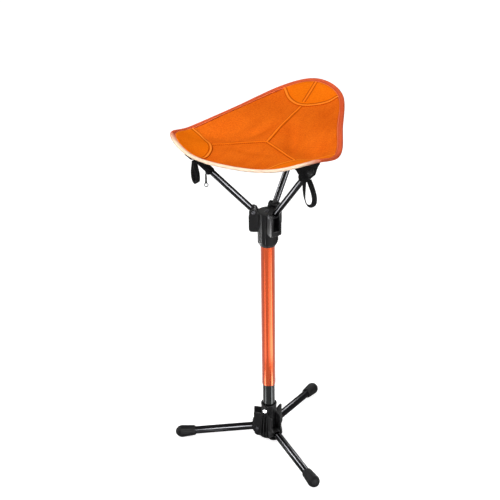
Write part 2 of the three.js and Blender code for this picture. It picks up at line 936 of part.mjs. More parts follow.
// Edge binding: a folded tape round the whole rim
function edgeBinding() {
  const inner = seatThickness / 2 + bindingGap;
  const outer = inner + bindingWall;
  const section = [
    [bindingDepth, outer],
    [bindingDepth / 2, outer],
    [bindingWall, outer],
    [0, inner],
    [0, -inner],
    [bindingWall, -outer],
    [bindingDepth / 2, -outer],
    [bindingDepth, -outer],
    [bindingDepth, -inner],
    [bindingDepth / 2, -inner],
    [bindingWall, -inner],
    [bindingWall, inner],
    [bindingDepth / 2, inner],
    [bindingDepth, inner],
  ];
  const steps = stations * seatSteps;
  const sections = Array.from({ length: steps }, (_, i) =>
    section.map(([inset, lift]) => {
      const u = i / seatSteps;
      return lifted(u, shareAtInset(u, inset), lift);
    }),
  );
  return solidOf(loft(sections, true));
}

// Corner patch: a lens of fabric on top of the seat, from one side of a corner to the other
function cornerPatch(side) {
  const [before, after] = patchSpanShares[side];
  const columns = 2 * patchSteps;
  return solidOf(
    sheet(columns, patchRows, (i, j, face) => {
      const away = i / patchSteps - 1;
      const u = stationOf[side] + away * (away < 0 ? before : after);
      const reach = patchDepths[side] * (1 - away * away);
      const edge = shareAtInset(u, bindingDepth + patchGap);
      const depth = shareAtInset(u, bindingDepth + patchGap + reach);
      const least = shareAtInset(u, bindingDepth + patchGap + patchThickness);
      const inner = Math.min(depth, least);
      const t = inner + (edge - inner) * (j / patchRows);
      const bottom = seatThickness / 2 + patchGap;
      return lifted(u, t, bottom + face * patchThickness);
    }),
  );
}

// Everything that the seat fills, from a gap below it upwards
function aboveSeat() {
  const shares = [...panelShares, null, null, null, 1.15];
  const columns = stations * seatSteps;
  const shareAt = (u, j) => {
    const share = shares[j];
    return share === null ? panelShare(u, j) : share;
  };
  return solidOf(
    sheet(columns, shares.length - 1, (i, j, face) => {
      const u = i / seatSteps;
      const below = -seatThickness / 2 - gap;
      return lifted(u, shareAt(u, j), face ? pocketMouthWidth : below);
    }),
  );
}

// A point in an arm's radial plane: some way along the arm, and off to its upper side
function besideArm(side, along, off) {
  const rise = radians(side, armElevations);
  return new THREE.Vector3(
    armPinRadius + along * Math.cos(rise) - off * Math.sin(rise),
    0,
    armPinHeight + along * Math.sin(rise) + off * Math.cos(rise),
  );
}

// A point on the seat above an arm, at some reach, in the same radial plane
function seatAbove(side, reach) {
  const u = stationOf[side];
  const rimReach = Math.hypot(roundRim(0, u), roundRim(1, u));
  return new THREE.Vector3(reach, 0, seatPoint(u, reach / rimReach).z + seatThickness);
}

// Corner pocket's outside: a sleeve round the arm that widens to a mouth at the seat
function pocketForm(side, grow) {
  const end = armLengths[side];
  const round = armRadius + capWall + 2 * gap + pocketWall;
  const outer = armEnd(side).reach + pocketMouthReach;
  const waist = end - capLength;
  const sections = [
    [end - pocketSleeve - grow, end - pocketSleeve - grow, pocketSleeveWidth],
    [waist, waist, pocketWaistWidth],
  ].map(([low, high, width]) => [
    besideArm(side, low, -round - grow),
    besideArm(side, high, round + grow),
    width / 2 + grow,
  ]);
  sections.push([
    seatAbove(side, outer + grow),
    seatAbove(side, outer - pocketMouthDepth - grow),
    pocketMouthWidth / 2 + grow,
  ]);
  return solidOf(
    loft(
      sections.map(([low, high, half]) =>
        Array.from({ length: pocketSides }, (_, i) => {
          const a = (2 * Math.PI * i) / pocketSides;
          const point = low.clone().lerp(high, (1 - Math.cos(a)) / 2);
          return point.setY(half * Math.sin(a));
        }),
      ),
    ),
  );
}

function cornerPocket(side) {
  const end = armLengths[side];
  const clear = 2 * gap;
  const capRadius = armRadius + gap + capWall;
  const bore = turned(
    [
      [0, end - pocketSleeve - overrun],
      [armRadius + gap, end - pocketSleeve - overrun],
      [armRadius + gap, end - capLength - clear],
      [capRadius + clear, end - capLength - clear],
      [capRadius + clear, end - capEnd],
      [armRadius, end + gap],
      [0, end + gap],
    ],
    armSides,
  );
  return pocketForm(side, 0)
    .subtract(solidOf(onArm(side, bore)))
    .subtract(aboveSeat().rotate([0, 0, -azimuths[side]]));
}

// Pull loop: a loop of webbing sewn under the pocket's sleeve, open to front and back
function pullLoop(side) {
  const half = loopSpread / 2;
  const shape = new THREE.Shape();
  const outline = (path, inset) => {
    const narrow = loopThickness * 2 - inset;
    const low = inset - loopDrop;
    path.moveTo(-narrow, -inset);
    path.bezierCurveTo(inset - half, low / 2, 1.4 * (inset - half), low, 0, low);
    path.bezierCurveTo(1.4 * (half - inset), low, half - inset, low / 2, narrow, -inset);
    path.lineTo(-narrow, -inset);
  };
  outline(shape, 0);
  const hole = new THREE.Path();
  outline(hole, loopThickness);
  shape.holes.push(hole);
  const strip = new THREE.ExtrudeGeometry(shape, {
    depth: loopWidth,
    bevelEnabled: false,
    curveSegments: 8,
  });
  const hook = besideArm(side, armLengths[side] - loopBacks[side], 0);
  const hung = strip
    .rotateX(Math.PI / 2)
    .rotateZ(Math.PI / 2)
    .translate(-loopWidth / 2, 0, 0)
    .rotateY(-radians(side, loopTilts))
    .translate(...hook.toArray());
  const round = armRadius + zipTapeThickness + 3 * gap;
  const arm = onArm(side, rod(round, 0, armLengths[side], armSides));
  const largest = solidOf(hung)
    .subtract(pocketForm(side, gap))
    .subtract(solidOf(arm))
    .decompose()
    .sort((a, b) => b.volume() - a.volume());
  return largest[0];
}

// Zip tape: a strip wrapped round the left arm below its pocket, with its edges underneath
const zipTapeEnd = armLengths.left - pocketSleeve - 2 * gap;
const zipTapeStart = zipTapeEnd - zipTapeLength;
function zipTape() {
  const inner = armRadius + gap;
  const outer = inner + zipTapeThickness;
  const steps = 14;
  const arc = (radius, along) =>
    Array.from({ length: steps + 1 }, (_, i) => {
      const a = zipTapeAngle * (i / steps - 0.5);
      return new THREE.Vector3(-radius * Math.cos(a), radius * Math.sin(a), along);
    });
  const low = [...arc(inner, zipTapeStart), ...arc(outer, zipTapeStart).reverse()];
  const high = [...arc(inner, zipTapeEnd), ...arc(outer, zipTapeEnd).reverse()];
  const count = low.length;
  const points = [...low, ...high];
  const faces = [];
  for (let j = 0; j < count; j += 1) {
    const k = (j + 1) % count;
    faces.push(j, k, count + k, j, count + k, count + j);
  }
  for (let j = 0; j < steps; j += 1) {
    const back = count - 1 - j;
    faces.push(j, back, back - 1, j, back - 1, j + 1);
    faces.push(count + j, count + back - 1, count + back);
    faces.push(count + j, count + j + 1, count + back - 1);
  }
  return solidOf(onArm("left", skin(points, faces)));
}

// Zip slider between the tape's edges under the arm, and the pull that hangs from it
function zipSlider() {
  const body = new THREE.BoxGeometry(sliderHeight, sliderWidth, sliderLength).translate(
    armRadius + gap + sliderHeight / 2,
    0,
    zipTapeStart + sliderLength / 2,
  );
  return solidOf(onArm("left", body));
}

function zipPull() {
  const under = -armRadius - 2 * gap - sliderHeight - pullCordRadius;
  const hook = besideArm("left", zipTapeStart + sliderLength / 2, under);
  const steps = 4;
  const dome = Array.from({ length: steps + 1 }, (_, i) => {
    const a = (Math.PI / 2) * (i / steps);
    return [pullCordRadius * Math.cos(a), hook.z + pullCordRadius * Math.sin(a)];
  });
  dome[steps][0] = 0;
  const bottom = hook.z - pullCordLength;
  const cord = turned([[0, bottom], [pullCordRadius, bottom], ...dome], pinSides);
  const ring = new THREE.TorusGeometry(pullRingRadius, pullRingWire, 6, armSides)
    .rotateX(Math.PI / 2)
    .translate(0, 0, bottom - pullRingRadius);
  return joined(solidOf(cord), solidOf(ring)).translate([hook.x, 0, 0]);
}

const group = new THREE.Group();
const post = new THREE.Group();
post.position.y = -(legReach - stationShares.front.reach * frontCornerReach) / 2;
group.add(post);

function limb(side) {
  const nest = new THREE.Group();
  nest.rotation.z = radians(side, azimuths);
  post.add(nest);
  return nest;
}

post.add(piece("base_hub", baseHub(), blackPlastic));
post.add(piece("base_cover", baseCover(), blackPlastic));
const coverScrew = piece("cover_screw", screw(screwLength - coverThickness), darkSteel);
coverScrew.rotation.x = Math.PI;
coverScrew.position.z = hubBottom - gap - coverThickness + screwRecess - gap;
post.add(coverScrew);
post.add(piece("inner_tube", innerTube(), blackTube));
post.add(piece("snap_button", snapButton(), steel));
post.add(piece("snap_spring", snapSpring(), steel));
post.add(piece("lock_plug", lockPlug(), steel));
post.add(piece("lock_cone", lockCone(), steel));
post.add(piece("lock_sleeve", lockSleeve(), nylon));
post.add(piece("lock_nut", lockNut(), steel));
post.add(piece("outer_tube", outerTube(), orangeTube));
post.add(piece("tube_plug", tubePlug(), blackPlastic));
post.add(piece("seat_hub", seatHub(), blackPlastic));
const hubScrew = piece("hub_screw", screw(screwLength), darkSteel);
hubScrew.position.z = seatHubTop - screwRecess + gap;
post.add(hubScrew);

for (const side of Object.keys(azimuths)) {
  const nest = limb(side);
  nest.add(piece(`leg_pin_${side}`, pin(baseEarWidth, legPinRadius, legPinHeight), steel));
  nest.add(piece(`leg_root_${side}`, legRoot(), blackPlastic));
  nest.add(piece(`leg_tube_${side}`, legTube(), blackTube));
  nest.add(piece(`leg_foot_${side}`, legFoot(), rubber));
  nest.add(piece(`arm_pin_${side}`, pin(seatEarWidth, armPinRadius, armPinHeight), steel));
  nest.add(piece(`arm_root_${side}`, armRoot(side), blackPlastic));
  nest.add(piece(`arm_tube_${side}`, armTube(side), blackTube));
  nest.add(piece(`arm_cap_${side}`, armCap(side), blackPlastic));
  nest.add(piece(`corner_pocket_${side}`, cornerPocket(side), blackFabric));
  nest.add(piece(`pull_loop_${side}`, pullLoop(side), blackFabric));
}

const leftArm = limb("left");
leftArm.add(piece("zip_tape", zipTape(), blackFabric));
leftArm.add(piece("zip_slider", zipSlider(), steel));
leftArm.add(piece("zip_pull", zipPull(), steel));

const panelNames = { rear: "seat_panel_left", left: "seat_panel_front", right: "seat_panel_right" };
for (const side of Object.keys(azimuths)) {
  post.add(piece(panelNames[side], seatPanel(side), orangeFabric));
  post.add(piece(`corner_patch_${side}`, cornerPatch(side), orangeFabric));
}
post.add(piece("edge_binding", edgeBinding(), salmonTape));

export default group;
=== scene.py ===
import math

import bmesh
import bpy
import numpy as np
from mathutils import Matrix, Vector


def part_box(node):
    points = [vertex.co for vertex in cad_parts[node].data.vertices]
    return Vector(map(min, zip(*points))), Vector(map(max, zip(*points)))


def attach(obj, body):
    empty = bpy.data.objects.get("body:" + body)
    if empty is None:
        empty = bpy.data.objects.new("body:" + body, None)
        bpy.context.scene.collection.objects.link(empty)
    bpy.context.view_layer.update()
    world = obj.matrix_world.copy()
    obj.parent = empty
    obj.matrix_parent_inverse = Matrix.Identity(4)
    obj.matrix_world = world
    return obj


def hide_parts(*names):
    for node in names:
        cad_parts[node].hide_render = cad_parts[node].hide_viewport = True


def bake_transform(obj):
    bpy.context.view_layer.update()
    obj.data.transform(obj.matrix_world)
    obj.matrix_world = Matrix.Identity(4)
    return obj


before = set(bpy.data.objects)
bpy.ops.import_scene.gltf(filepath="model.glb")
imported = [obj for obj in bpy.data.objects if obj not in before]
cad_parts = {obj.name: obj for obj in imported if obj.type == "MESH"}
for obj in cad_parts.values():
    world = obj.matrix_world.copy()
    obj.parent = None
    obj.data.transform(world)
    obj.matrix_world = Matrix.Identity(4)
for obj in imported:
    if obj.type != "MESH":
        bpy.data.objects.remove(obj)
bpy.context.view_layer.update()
scene = bpy.context.scene

# Camera, where the photograph was taken from: 2.7 m from the post and 1.66 m up, with the
# front of the seat turned 31.5 degrees to the left. Lengths are in millimetres times MM.
MM = 0.001
tube_low, tube_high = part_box("inner_tube")
POST = Vector(((tube_low.x + tube_high.x) / 2, (tube_low.y + tube_high.y) / 2, 0))
turn = Matrix.Rotation(math.radians(31.5), 3, "Z")
tilt, yaw, roll = (math.radians(a) for a in (29.052, -0.906, -0.879))
forward = turn @ Vector(
    (math.sin(yaw) * math.cos(tilt), math.cos(yaw) * math.cos(tilt), -math.sin(tilt))
)
level = turn @ Vector((math.cos(yaw), -math.sin(yaw), 0))
raised = level.cross(forward)
rightward = level * math.cos(roll) + raised * math.sin(roll)
upward = raised * math.cos(roll) - level * math.sin(roll)
lens = bpy.data.cameras.new("camera")
lens.sensor_width = 36
lens.lens = 92.4
camera = bpy.data.objects.new("camera", lens)
scene.collection.objects.link(camera)
camera.matrix_world = (
    Matrix.Translation(POST + turn @ Vector((0, -2172.7 * MM, 0)) + Vector((0, 0, 1657.2 * MM)))
    @ Matrix((rightward, upward, -forward)).transposed().to_4x4()
)
scene.camera = camera
scene.view_settings.view_transform = "Standard"


# Sums on shader sockets are written as plain arithmetic on this class. A length in a material
# is in metres, and coloured() takes a colour as it looks on the screen, from 0 to 255.
class Wire:
    def __init__(self, tree, socket=None):
        self.tree = tree
        self.socket = socket

    def add(self, kind, settings=None, inputs=None, output=0):
        node = self.tree.nodes.new("ShaderNode" + kind)
        for name, value in (settings or {}).items():
            setattr(node, name, value)
        for name, value in (inputs or {}).items():
            if isinstance(value, Wire):
                self.tree.links.new(value.socket, node.inputs[name])
            else:
                node.inputs[name].default_value = value
        return Wire(self.tree, node.outputs[output])

    def outputs(self):
        """All the outputs of this wire's node, by name."""
        return {output.name: Wire(self.tree, output) for output in self.socket.node.outputs}

    def maths(self, operation, *values):
        return self.add("Math", {"operation": operation}, dict(enumerate(values)))

    def __add__(self, other):
        return self.maths("ADD", self, other)

    def __sub__(self, other):
        return self.maths("SUBTRACT", self, other)

    def __rsub__(self, other):
        return self.maths("SUBTRACT", other, self)

    def __mul__(self, other):
        return self.maths("MULTIPLY", self, other)

    __radd__ = __add__
    __rmul__ = __mul__

    def __truediv__(self, other):
        return self.maths("DIVIDE", self, other)

    def __rtruediv__(self, other):
        return self.maths("DIVIDE", other, self)

    def __mod__(self, other):
        return self.maths("FLOORED_MODULO", self, other)

    def __lt__(self, other):
        return self.maths("LESS_THAN", self, other)

    def __abs__(self):
        return self.maths("ABSOLUTE", self)

    def near(self, centre, width):
        """1 at a place, falling to 0 at a distance from it."""
        return self.maths("MAXIMUM", 1 - abs(self - centre) / width, 0)

    def clamped(self):
        return self.add("Clamp", {}, {0: self})

    def mix(self, low, high):
        """From low to high, each a wire or a colour as coloured() takes it."""
        low, high = (c if isinstance(c, Wire) else coloured(*c) for c in (low, high))
        return self.add("Mix", {"data_type": "RGBA"}, {0: self, 6: low, 7: high}, 2)

    def noise(self, scale, detail=3, stretch=(1, 1, 1)):
        place = self.add("TexCoord", output=3)
        place = self.add("Mapping", {}, {"Vector": place, "Scale": stretch})
        return self.add("TexNoise", {}, {"Vector": place, "Scale": scale, "Detail": detail})

    def bump(self, distance):
        return self.add("Bump", {}, {"Distance": distance, "Height": self})


def coloured(red, green, blue):
    parts = (c / 255 for c in (red, green, blue))
    return (*(c / 12.92 if c < 0.04045 else ((c + 0.055) / 1.055) ** 2.4 for c in parts), 1)


def material(name, paint, fixed):
    made = bpy.data.materials.new(name)
    made.use_nodes = True
    tree = made.node_tree
    shader = tree.nodes["Principled BSDF"]
    for key, value in fixed.items():
        shader.inputs[key].default_value = value
    for key, value in paint(Wire(tree)).items():
        tree.links.new(value.socket, shader.inputs[key])
    return made


# Studio: a white floor and white surroundings, and a key and a fill light for the cloth. The
# other lights show only in gloss, each placed where a tube mirrors it: the near ones lie on the
# floor for the upright and rising tubes, and the others hang in the air.
LIGHT_HEIGHT, LIGHT_DISTANCE, FLOOR_LIGHT_HEIGHT = 0.4, 2.2, 0.003


def ambient(tree, seen, lighting):
    """How much light a background gives: seen by the camera and in gloss, and on surfaces."""
    rays = Wire(tree).add("LightPath").outputs()
    straight = rays["Is Camera Ray"].maths("MAXIMUM", rays["Is Camera Ray"], rays["Is Glossy Ray"])
    shown = straight.maths("MAXIMUM", straight, rays["Is Transmission Ray"])
    return shown * (seen - lighting) + lighting


world = bpy.data.worlds.new("surroundings")
scene.world = world
world.use_nodes = True
backdrop = world.node_tree.nodes["Background"]
backdrop.inputs["Color"].default_value = (1, 1, 1, 1)
brightness = ambient(world.node_tree, 1.0, 0.36)
world.node_tree.links.new(brightness.socket, backdrop.inputs["Strength"])

bpy.ops.mesh.primitive_plane_add(size=12, location=(0, 0, -0.0004))
floor = bpy.context.object
floor.name = "floor"
pale = bpy.data.materials.new("pale_floor")
pale.use_nodes = True
shader = pale.node_tree.nodes["Principled BSDF"]
shader.inputs["Base Color"].default_value = (0.5, 0.5, 0.5, 1)
shader.inputs["Roughness"].default_value = 0.9
shader.inputs["Emission Color"].default_value = (1, 1, 1, 1)
brightness = ambient(pale.node_tree, 0.8, 0.0)
pale.node_tree.links.new(brightness.socket, shader.inputs["Emission Strength"])
floor.data.materials.append(pale)


def panel_light(name, place, facing, size, strength, gloss):
    """A rectangle of light. With gloss it only shows as a highlight, without it only as light."""
    light = bpy.data.lights.new(name, "AREA")
    light.shape = "RECTANGLE"
    light.size, light.size_y = size
    light.energy = strength * math.pi * size[0] * size[1]
    lamp = bpy.data.objects.new(name, light)
    scene.collection.objects.link(lamp)
    lamp.visible_camera = False
    lamp.visible_diffuse = not gloss
    lamp.visible_glossy = gloss
    lamp.location = place
    lamp.rotation_euler = facing


def soft_light(name, azimuth, rise, size, strength, gloss=True):
    """A light in the air that faces the stool from a direction."""
    a, e = math.radians(azimuth), math.radians(rise)
    way = Vector((math.cos(e) * math.cos(a), math.cos(e) * math.sin(a), math.sin(e)))
    place = Vector((POST.x, POST.y, LIGHT_HEIGHT)) + way * LIGHT_DISTANCE
    facing = (-way).to_track_quat("-Z", "Y").to_euler()
    panel_light(name, place, facing, size, strength, gloss)


def floor_light(name, azimuth, distance, length, width, strength):
    """A light that lies on the floor and faces up, its length away from the post."""
    a = math.radians(azimuth)
    way = Vector((distance * math.cos(a), distance * math.sin(a), FLOOR_LIGHT_HEIGHT))
    panel_light(name, POST + way, (math.pi, 0, a + math.pi / 2), (width, length), strength, True)


soft_light("key_light", 255, 47, (0.6, 0.6), 28, gloss=False)
soft_light("fill_light", 350, 40, (1.2, 1.2), 2.2, gloss=False)
soft_light("left_arm_highlight", 336, 9, (0.7, 0.7), 140)
soft_light("left_leg_highlight", 289, 26, (0.7, 0.7), 140)
soft_light("front_leg_highlight", 200, 30, (0.45, 0.45), 200)
soft_light("rear_leg_highlight", 98, 30, (0.4, 0.4), 120)
soft_light("rear_arm_highlight", 357, 17, (0.35, 0.7), 130)
floor_light("right_arm_highlight", 201, 0.68, 0.5, 0.2, 110)
floor_light("right_panel", 355, 0.6, 0.7, 0.24, 6.5)
floor_light("right_wing", 322, 0.6, 0.7, 0.22, 2.6)
floor_light("left_panel", 250, 0.6, 0.7, 0.16, 2.6)
floor_light("right_near", 2, 0.155, 0.11, 0.055, 14)
floor_light("left_near", 238, 0.155, 0.1, 0.045, 12)

# Post: the orange outer tube slides on the black inner tube, both hollow and anodised. The
# right arm's highlight lamp is kept off the orange tube, where it would draw a white line.
OUTER_LOW, OUTER_TOP = 138.92, 519.92
INNER_LOW, INNER_TOP = 41.22, 378.2
post = Matrix.Translation(POST)


def rounded(corners, closed=False, steps=4):
    """A line through corners, (x, z) or (x, z, radius), with an arc at those with a radius."""
    line = []
    count = len(corners)
    for i, corner in enumerate(corners):
        here = Vector(corner[:2])
        if len(corner) < 3 or (not closed and i in (0, count - 1)):
            line.append(here)
            continue
        before = Vector(corners[i - 1][:2]) - here
        after = Vector(corners[(i + 1) % count][:2]) - here
        half = before.angle(after) / 2
        cut = min(corner[2] / math.tan(half), before.length * 0.48, after.length * 0.48)
        start, end = here + before.normalized() * cut, here + after.normalized() * cut
        for k in range(steps + 1):
            f = k / steps
            line.append(start * (1 - f) ** 2 + here * 2 * f * (1 - f) + end * f * f)
    return line


def between(rings, count):
    """Faces between rings of points, each of the same count."""
    faces = []
    for r in range(0, (rings - 1) * count, count):
        for i in range(count):
            n = (i + 1) % count
            faces.append([r + i, r + n, r + count + n, r + count + i])
    return faces


def lathe(corners, closed=False, sides=64, place=Matrix.Identity(4), ribs=0, rib_depth=0):
    """A shell turned about Z from a profile of (radius, height[, rounding]), in millimetres."""
    line = rounded(corners, closed)
    points, faces = [], []
    rings = []
    for radius, height in line:
        if radius < 1e-6:
            rings.append([len(points)])
            points.append(Vector((0, 0, height)))
            continue
        rings.append(list(range(len(points), len(points) + sides)))
        for k in range(sides):
            a = 2 * math.pi * k / sides
            r = radius - (rib_depth * (0.5 + 0.5 * math.cos(ribs * a)) if ribs else 0)
            points.append(Vector((r * math.cos(a), r * math.sin(a), height)))
    for i in range(len(rings) if closed else len(rings) - 1):
        low, high = rings[i], rings[(i + 1) % len(rings)]
        for k in range(sides):
            n = (k + 1) % sides
            face = [low[k % len(low)], low[n % len(low)], high[n % len(high)], high[k % len(high)]]
            face = list(dict.fromkeys(face))
            if len(face) > 2:
                faces.append(face)
    return [place @ (p * MM) for p in points], faces


def welded(mesh, within):
    """Points that lie together become one, and all faces are turned outward."""
    form = bmesh.new()
    form.from_mesh(mesh)
    bmesh.ops.remove_doubles(form, verts=form.verts, dist=within)
    bmesh.ops.recalc_face_normals(form, faces=form.faces)
    form.to_mesh(mesh)
    form.free()


def shaded(mesh, sharp=35):
    """Smooth, but for edges sharper than an angle."""
    mesh.shade_smooth()
    mesh.set_sharp_from_angle(angle=math.radians(sharp))


def shown(name, mesh):
    obj = bpy.data.objects.new(name, mesh)
    scene.collection.objects.link(obj)
    return obj


def together(name, *shells, sharp=35):
    """One object from several closed shells, each (points, faces)."""
    points, faces = [], []
    for shell_points, shell_faces in shells:
        start = len(points)
        points += [tuple(p) for p in shell_points]
        faces += [[start + i for i in f] for f in shell_faces]
    mesh = bpy.data.meshes.new(name)
    mesh.from_pydata(points, [], faces)
    welded(mesh, 1e-7)
    shaded(mesh, sharp)
    return shown(name, mesh)


def turned_piece(name, profile, sides, place, closed=False):
    return together(name, lathe(profile, closed, sides, place))


def hollow(name, bore, radius, low, high, place, sides=64, low_edge=0.4):
    """A tube along Z with its end edges taken off inside and outside."""
    wall = [(bore, low, 0.3), (radius, low, low_edge), (radius, high, 0.4), (bore, high, 0.3)]
    return turned_piece(name, wall, sides, place, closed=True)


def finished(obj, finish, body, node):
    """Gives a piece its material, the body it rides on and the node that it stands for."""
    obj.data.materials.append(finish)
    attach(obj, body)
    if node:
        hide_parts(node)


def drawn_metal(low, high):
    """Anodised tube, with fine lines along its length."""

    def paint(w):
        lines = w.noise(900, 2, (1, 1, 0.02))
        return {
            "Base Color": w.noise(14, 2).mix(low, high),
            "Roughness": 0.14 + lines * 0.12,
            "Normal": lines.bump(0.00002),
        }

    return paint


orange_tube = material(
    "orange_tube",
    drawn_metal((152, 51, 0), (158, 55, 2)),
    {"Metallic": 1.0, "Coat Weight": 0.45, "Coat Roughness": 0.15},
)
post_tube = material("post_tube", drawn_metal((34, 35, 35), (40, 41, 41)), {"Metallic": 1.0})
outer = hollow("outer_tube_anodised", 12.8, 14, OUTER_LOW, OUTER_TOP, post, 96, low_edge=0.7)
finished(outer, orange_tube, "upper", "outer_tube")
kept_off = bpy.data.collections.new("kept_off")
kept_off.objects.link(outer)
bpy.data.objects["right_arm_highlight"].light_linking.receiver_collection = kept_off
kept_off.collection_objects[0].light_linking.link_state = "EXCLUDE"
inner = hollow("inner_tube_anodised", 11.3, 12.5, INNER_LOW, INNER_TOP, post, 96)
finished(inner, post_tube, "base", "inner_tube")

# Base hub: one black moulding, a collar on a round core with three pairs of cheeks, bosses
# round the leg pins and three fins in each gap. The core is cut back between each pair.
HUB_BOTTOM, COLLAR_TOP = 14.92, 88.92
AZIMUTHS = {"rear": 90, "left": 210, "right": 330}
LEG_PIN, LEG_PIN_Z, DROOP = 25, 29.92, 6.3


def moved(x, y, z):
    return Matrix.Translation(Vector((x, y, z)) * MM)


def limb(side, extra=0):
    return post @ Matrix.Rotation(math.radians(AZIMUTHS[side] + extra), 4, "Z")


def across(radius, height, side, extra=0):
    """Turns a shape about Z so that its axis is the pin's, across a limb."""
    return limb(side, extra) @ moved(radius, 0, height) @ Matrix.Rotation(math.pi / 2, 4, "X")


def cut(obj, *tools):
    for tool in tools:
        change = obj.modifiers.new("cut", "BOOLEAN")
        change.operation = "DIFFERENCE"
        change.solver = "EXACT"
        change.object = tool
    graph = bpy.context.evaluated_depsgraph_get()
    mesh = bpy.data.meshes.new_from_object(obj.evaluated_get(graph))
    obj.modifiers.clear()
    obj.data = mesh
    for tool in tools:
        bpy.data.objects.remove(tool)
    shaded(mesh)
    return obj


def slab(outline, low, high, round_edge, place, steps=3):
    """A shell of an outline in the XZ plane, from y = low to high, with rounded edges."""
    count = len(outline)
    area = sum(
        outline[i - 1][0] * outline[i][1] - outline[i][0] * outline[i - 1][1] for i in range(count)
    )
    sign = 1 if area > 0 else -1

    def inward(i, amount):
        a, b, c = (Vector(outline[(i + k) % count][:2]) for k in (-1, 0, 1))
        first, second = (b - a).normalized(), (c - b).normalized()
        normal = Vector((-first.y - second.y, first.x + second.x)) * sign
        if normal.length < 1e-9:
            return b
        normal.normalize()
        corner = max(0.5, Vector((-first.y, first.x)).dot(normal) * sign)
        return b + normal * (amount / corner)

    rows = []
    for k in range(steps + 1):
        a = math.pi / 2 * k / steps
        rows.append((round_edge * (1 - math.sin(a)), low + round_edge * (1 - math.cos(a))))
    rows += [(inset, high - (y - low)) for inset, y in reversed(rows)]
    points = []
    for inset, y in rows:
        for i in range(count):
            p = inward(i, inset)
            points.append(place @ (Vector((p.x, y, p.y)) * MM))
    faces = between(len(rows), count)
    faces.append(list(range(count)))
    faces.append(list(range((len(rows) - 1) * count, len(rows) * count))[::-1])
    return points, faces


def block(x, y, z, place):
    outline = [(x[0], z[0]), (x[1], z[0]), (x[1], z[1]), (x[0], z[1])]
    return slab(outline, y[0], y[1], 0, place, steps=1)


def merged(name, *objects):
    form = bmesh.new()
    for part in objects:
        form.from_mesh(part.data)
        bpy.data.objects.remove(part)
    mesh = bpy.data.meshes.new(name)
    form.to_mesh(mesh)
    form.free()
    shaded(mesh)
    return shown(name, mesh)


def grained(low, high, rough, size=1600, depth=0.00006):
    """A moulding, rubber or plain metal, with a fine grain."""

    def paint(w):
        grain = w.noise(size, 2)
        patch = w.noise(35, 3)
        return {
            "Base Color": patch.mix(low, high),
            "Roughness": rough + patch * 0.18,
            "Normal": grain.bump(depth),
        }

    return paint


black_plastic = material(
    "black_plastic", grained((22, 22, 23), (34, 34, 35), 0.3), {"Specular IOR Level": 0.04}
)
BUTTON_Z, CORE = 75.42, 15.9
profile = [(0, HUB_BOTTOM), (20, HUB_BOTTOM, 1), (20, HUB_BOTTOM + 4, 1)]
profile += [(CORE, HUB_BOTTOM + 9, 2), (CORE, 66.9, 3), (15.7, 70.5, 2), (15.7, 85.9, 0.3)]
profile += [(16.3, 86.3, 0.5), (16.3, COLLAR_TOP, 0.9), (12.8, COLLAR_TOP, 0.4)]
profile += [(12.8, 40.92), (0, 40.92)]
core = turned_piece("base_core", profile, 96, post)
slots = [block((16.4, 30), (-8.5, 8.5), (10, 80), limb(side)) for side in AZIMUTHS]
hole = [(0, 10), (4.9, 10), (4.9, 20), (0, 20)]
button_hole = turned_piece("button_hole", hole, 48, across(0, BUTTON_Z, "rear", -90))
core = cut(core, together("slots", *slots), button_hole)
cheek = [(14, HUB_BOTTOM), (21, HUB_BOTTOM, 3), (32.6, 24.5, 4), (35.3, 31, 5), (34.8, 37, 5)]
cheek += [(31.5, 45, 6), (31.2, 70.9, 2.5), (24, 70.4, 3), (14, 68.5)]
cheek = rounded(cheek, closed=True)
fin = [(15, HUB_BOTTOM + 1), (23.5, HUB_BOTTOM + 1, 2), (23, 34, 8), (20.6, 58, 6), (15.6, 72)]
fin = rounded(fin + [(15, 72)], closed=True)
CHEEK_IN, CHEEK_OUT, HEAD = 8.5, 12.5, 4.2
shells = []
for side in AZIMUTHS:
    for way in (-1, 1):
        low, high = sorted((way * CHEEK_IN, way * CHEEK_OUT))
        shells.append(slab(cheek, low, high, 0.9, limb(side)))
        turned = Matrix.Rotation(0 if way < 0 else math.pi, 4, "X")
        for radius, proud in ((8.5, 0.9), (6.4, 1.5)):
            back, top = CHEEK_OUT - 2, CHEEK_OUT + proud
            boss = [(0, back), (radius, back), (radius, top, 0.6), (HEAD, top)]
            boss += [(HEAD, CHEEK_OUT - 1), (0, CHEEK_OUT - 1)]
            place = across(LEG_PIN, LEG_PIN_Z, side) @ turned
            shells.append(lathe(boss, sides=40, place=place))
    for extra in (42, 60, 78):
        shells.append(slab(fin, -1.3, 1.3, 0.8, limb(side, extra)))
base_hub = merged("base_hub_moulding", core, together("base_cheeks", *shells))
finished(base_hub, black_plastic, "base", "base_hub")

# Base cover: a black plate with a lobe under each leg root and a rounded edge, held to the hub
# by one screw. A second such screw holds the seat hub down.
LOBE, LOBE_AT, WAIST = 11.5, 19.5, 22.0
lobed = []
for k in range(144):
    a = 2 * math.pi * k / 144
    reach = WAIST
    for azimuth in AZIMUTHS.values():
        d = a - math.radians(azimuth)
        inside = LOBE**2 - (LOBE_AT * math.sin(d)) ** 2
        if inside > 0 and math.cos(d) > 0:
            reach = max(reach, LOBE_AT * math.cos(d) + math.sqrt(inside))
    lobed.append((reach * math.cos(a), reach * math.sin(a)))
flat_up = post @ Matrix.Rotation(-math.pi / 2, 4, "X")
plate = slab(lobed, 0.3 - HUB_BOTTOM, 3.3 - HUB_BOTTOM, 1.0, flat_up)
cover = together("base_cover_plate", plate)
finished(cover, black_plastic, "base", "base_cover")


